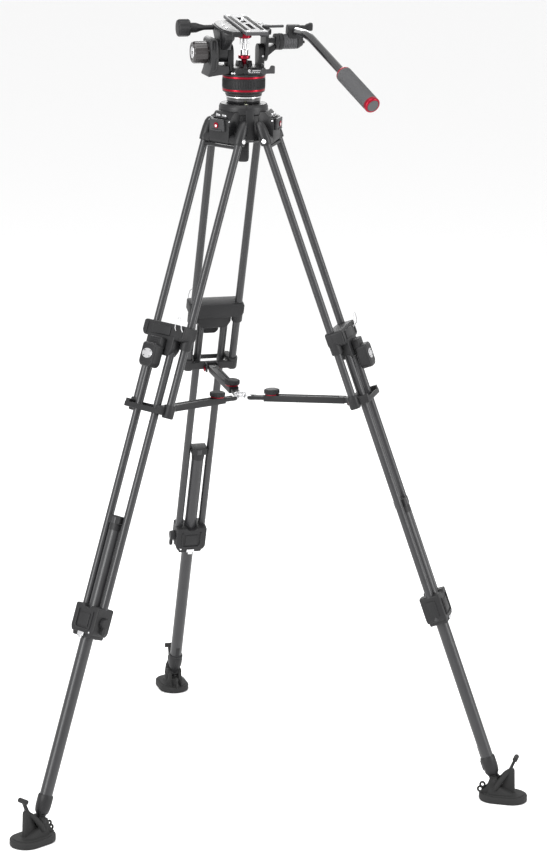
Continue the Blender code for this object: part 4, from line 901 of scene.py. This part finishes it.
for x in (-8.6, 8.6):
    rods.turned(soften([(0, -14.2), (1.7, -14.2), (1.7, -27), (0, -27)], 0.3, closed=False), at(x=x), steps=20)
rods.piece("spring_rods", "spring_cap", steel)

# ---- Head: tilting cradle ----------------------------------------------------------------------
# The cradle is a long dark casting with a dovetail for the plate. It hangs on two arms outside the
# uprights; a triangular strut on the right carries the rosette, a curved grey fin is on the left.
PLATE_X = 2
slot_low, slot_high = PLATE_X - 25.6, PLATE_X + 25.6
cradle = Form(tilt_at)
window_low, window_high = -22, 18
cradle.slab(soften([(window_low, -66), (-44, -64), (-57, -40), (-61.3, 0), (-60.5, 40), (-50, 62),
                    (-30, 66), (34, 66),
                    (34, -66), (window_high, -66), (window_high, 20), (window_low, 20)], 3, 4), 8.5, 1.4,
                    at(0, 0, 48.2))
cradle.slab(soften([(slot_low, -65), (-44, -63), (-56, -40), (-59.5, 0), (-58.5, 40), (-48, 61),
                    (slot_low, 65)], 4, 4),
            4.5, 1.4, at(0, 0, 53))
cradle.slab(soften([(slot_high, -65), (34, -65), (38, -52), (49, -38), (49, 38), (38, 52), (34, 65),
                    (slot_high, 65)],
                   3, 4), 9, 1.6, at(0, 0, 50))
cradle.box((20, -38, 42), (48.8, 38, 49), 2.5)
arm_line = soften([(22, 48), (-22, 48)] + arc(22, 180, 360, 16), 0.6)
cradle.wall(arm_line, -61, -41.6, 3)
cradle.wall(arm_line, 41.6, 48.4, 1.5)
cradle.wall(soften([(-64, 50), (60, 50), (56, 42), (19, 6), (-17, 6), (-50, 26), (-62, 40)], 6, 5), -57.5,
            -42.5, 4)
cradle.turned(soften([(0, 61), (11, 61), (9.5, 64.5), (0, 64.5)], 0.8, closed=False), at(ry=-90), steps=40)
cradle.wall(soften([(-12, 30), (12, 30), (12, 19), (-12, 19)], 2), 47, 74, 2)
cradle.slab(soften([(46, 6), (46, -8), (50, -10), (74, 10), (74, 20)], 1.5), 20, 2, UPRIGHT)
cradle.turned(soften([(0, 66), (17, 66), (18, 68), (18, 74), (0, 74)], 0.8, closed=False), at(z=20, ry=90),
              steps=48)
cradle.piece("tilt_cradle", "tilt", powder_coat, "tilt_body")
anodised_grey = grained("grey_anodised", "grey_metal", (0.035, 0.035, 0.037), (0.055, 0.055, 0.058), 0.42,
                        1600, 0.00003,
                        Metallic=0.35)
fin = Form(tilt_at).slab(soften([(-29, 42), (-36, 40), (-42, 31), (-45, 19), (-45, 9), (-36, 8), (-35, 19),
                                 (-32, 27),
                                 (-28, 31)], 2.5), 7, 1.6, at(0, -22, 0) @ UPRIGHT)
fin.piece("tilt_drag_fin", "tilt", anodised_grey)
ticks = Form(tilt_at)
tick = Form(Matrix()).box((-2.2, -0.5, -0.12), (2.2, 0.5, 0.12), 0.08, steps=1)
ticks.copies(tick, 15, white_ink_and_highlight, step=(0, 6.5, 0), place=at(slot_low - 5, -46, 55.3))
ticks.piece("cradle_ticks", "tilt", white_ink_and_highlight)
bolts = Form(tilt_at)
for x, y, z in ((-46, 8, 55.2), (-46, -22, 55.2), (40, 26, 54.4), (42, 2, 54.4), (31, -58, 54.4),
                (31, 58, 54.4)):
    bolts.turned(soften([(0, 1.1), (1.4, 1.1), (1.4, 1.9), (2.8, 1.7), (3, 0), (0, 0)], 0.25, closed=False),
                 at(x, y, z),
                 steps=28)
bolts.piece("cradle_screws", "tilt", steel)

# ---- Camera plate ------------------------------------------------------------------------------
# The sliding plate is grey anodised aluminium with two slots, two rubber strips and a camera screw.
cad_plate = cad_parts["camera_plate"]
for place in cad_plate.material_slots:
    place.material = anodised_grey.material
pads = Form(tilt_at)
for x in (-17, 17):
    pads.box((PLATE_X + x - 4, -72, 60.4), (PLATE_X + x + 4, 72, 61.7), 0.5)
pads.piece("plate_grip_strips", "plate", rubber)
pins = Form(tilt_at)
for x, y in ((-17, -84), (17, -84), (-17, 84), (17, 84)):
    pins.turned(soften([(0, 0.4), (1.5, 0.4), (1.5, 1.2), (2.9, 1), (3.1, 0), (0, 0)], 0.2, closed=False),
                at(PLATE_X + x, y, 60.8), steps=28)
pins.piece("plate_screws", "plate", steel)
screw = Form(tilt_at @ at(PLATE_X, 30, 50))
thread = [(0, 17)] + [(3.2 - 0.45 * (i % 2), 16.6 - 0.5 * i) for i in range(12)] + [(4.4, 10.4), (4.4, 1),
                                                                                    (0, 0.5)]
screw.turned(thread, steps=32)
screw.piece("camera_screw_threaded", "camera_screw", steel, "camera_screw")
lever = Form(tilt_at @ at(40, -22, 54.3))
lever.turned(soften([(0, 7), (6.5, 7), (7.8, 5.5), (7.8, 0), (0, 0)], 0.8, closed=False), steps=40)
lever.slab(soften([(-4, -5), (12, -5.5), (26, -5), (38, -5), (40, -2), (40, 3), (37, 5), (24, 3.8),
                   (10, 5.2), (-4, 5)], 2.5),
           5.4, 1.8, at(0, 0, 3.6))
lever.piece("plate_release_lever", "plate_lever", grey_moulding, "plate_lever")
stem = Form(tilt_at @ at(-61.8, 26, 48, ry=-90))
stem.turned(soften([(0, 0), (5.4, 0), (5.4, 22), (8, 32), (10.6, 39), (11, 53.4), (16, 53.4), (19, 56.5),
                    (19, 78),
                    (16, 81), (0, 81)], 2, 4, closed=False), steps=144, flutes=8, depth=1.6, from_radius=17)
stem.turned(soften([(0, 81.1), (12, 81.1), (11, 80.2), (0, 80.2)], 0.2, closed=False), steps=48)
stem.piece("plate_lock_grip", "plate_lock_knob", black_moulding, "plate_lock_knob")

# ---- Pan bar and its clamp ---------------------------------------------------------------------
# A ribbed grey barrel turns on the rosette and clamps the bar in a black saddle. The bar is a bent
# tube in black lacquer; its grip is grey ribbed rubber between red rings.
rosette_at = tilt_at @ at(74.3, 0, 20)
along_x = at(ry=90)
barrel = Form(rosette_at).turned(
    [(0, 9.6), (16.4, 9.6)] + [(16.9 - 0.7 * (i % 4 > 1), 10.2 + i * 0.95) for i in range(32)] + [(0, 40)],
    along_x,
    steps=64)
barrel.piece("clamp_barrel", "pan_bar", anodised_grey, "bar_clamp")
block = Form(rosette_at)
block.turned(soften([(0, 0), (16.5, 0), (18, 1.2), (18, 8), (16.5, 9.5), (0, 9.5)], 0.8, closed=False),
             along_x, steps=72)
block.turned(soften([(0, 40.2), (16.4, 40.2), (16.4, 44), (9.5, 55), (0, 56)], 1.6, closed=False), along_x,
             steps=56)
block.turned(soften([(0, 55), (3, 55), (3, 61), (0, 61)], 0.6, closed=False), at(0, 4, -3, ry=90), steps=20)
block.slab(soften([(-14, 4), (14, 4), (14, 28), (9, 36), (-9, 36), (-14, 28)], 4), 28, 2.6, at(34) @ SIDEWAYS)
block.box((40, -14.5, 17.6), (49, 14.5, 19.6), 0.6)
block.piece("clamp_saddle", "pan_bar", black_moulding)
wing = Form(rosette_at @ at(48.3, 0, 30))
wing.turned(soften([(0, 0), (4.4, 0), (4.4, 13), (0, 13)], 0.6, closed=False), along_x, steps=28)
wing.loft([(8, 8, 3, 0, 0, 11), (13, 9, 3, 0, 0, 14), (18, 9, 3, -0.5, 0, 22), (17, 8, 3, -0.5, 0, 27),
           (13, 6, 2.5, 0, 0, 28)],
          along_x)
wing.piece("clamp_wing", "wing_knob", black_moulding, "clamp_wing_knob")

untip = Matrix.Rotation(-math.radians(5), 3, "X")
bar_yaw, grip_yaw, grip_drop = (math.radians(a) for a in (-83.6, -73.8, -25.4))
first = untip @ Vector((math.cos(bar_yaw), math.sin(bar_yaw), 0))
second = untip @ Vector((math.cos(grip_drop) * math.cos(grip_yaw), math.cos(grip_drop) * math.sin(grip_yaw),
                         math.sin(grip_drop)))
held = Vector((34, 0, 23))
bend = held + first * 80
start, end = bend - first * 22, bend + second * 22
route = [held - first * 20, held]
route += [start * (1 - t) ** 2 + bend * 2 * t * (1 - t) + end * t ** 2 for t in (i / 16 for i in range(17))]
route += [bend + second * 90, bend + second * 178]
Form(rosette_at).bar(route, 8.95, steps=32).piece("bent_bar", "pan_bar", lacquer, "pan_bar")
grip_turn = second.to_track_quat("Z", "Y").to_matrix().to_4x4()
grip_at = rosette_at @ Matrix.Translation(bend + second * 150) @ grip_turn
grip_rubber = grained("grip_rubber", "grip_rubber", (0.04, 0.04, 0.042), (0.07, 0.07, 0.073), 0.7, 700, 0.0001)
grip = Form(grip_at).turned([(9.6, 8), (16.7, 8), (16.7, 122), (9.6, 122)], ring=True, steps=64)
rib = Form(Matrix()).turned([(16.2, -1.1), (17.1, -1), (17.5, -0.4), (17.5, 0.4), (17.1, 1), (16.2, 1.1)],
                            ring=True, steps=64)
grip.copies(rib, 37, grip_rubber, step=(0, 0, 3), place=at(z=10.5))
grip.turned(soften([(0, 130.6), (12.6, 130.6), (13, 131.8), (0, 131.8)], 0.3, closed=False), steps=56)
grip.piece("grip_sleeve", "pan_bar", grip_rubber, "grip")
collars = Form(grip_at)
collars.turned(soften([(9.4, 0), (11.6, 0), (14.5, 2.4), (17, 6), (17, 8.4), (9.4, 8.4)], 1), ring=True,
               steps=64)
collars.turned(soften([(9.4, 121.6), (17.4, 121.6), (17.5, 129), (15.5, 131.8), (13.2, 131.8), (13, 130),
                       (9.4, 130)], 0.8),
               ring=True, steps=64)
collars.piece("grip_rings", "pan_bar", red_anodised)
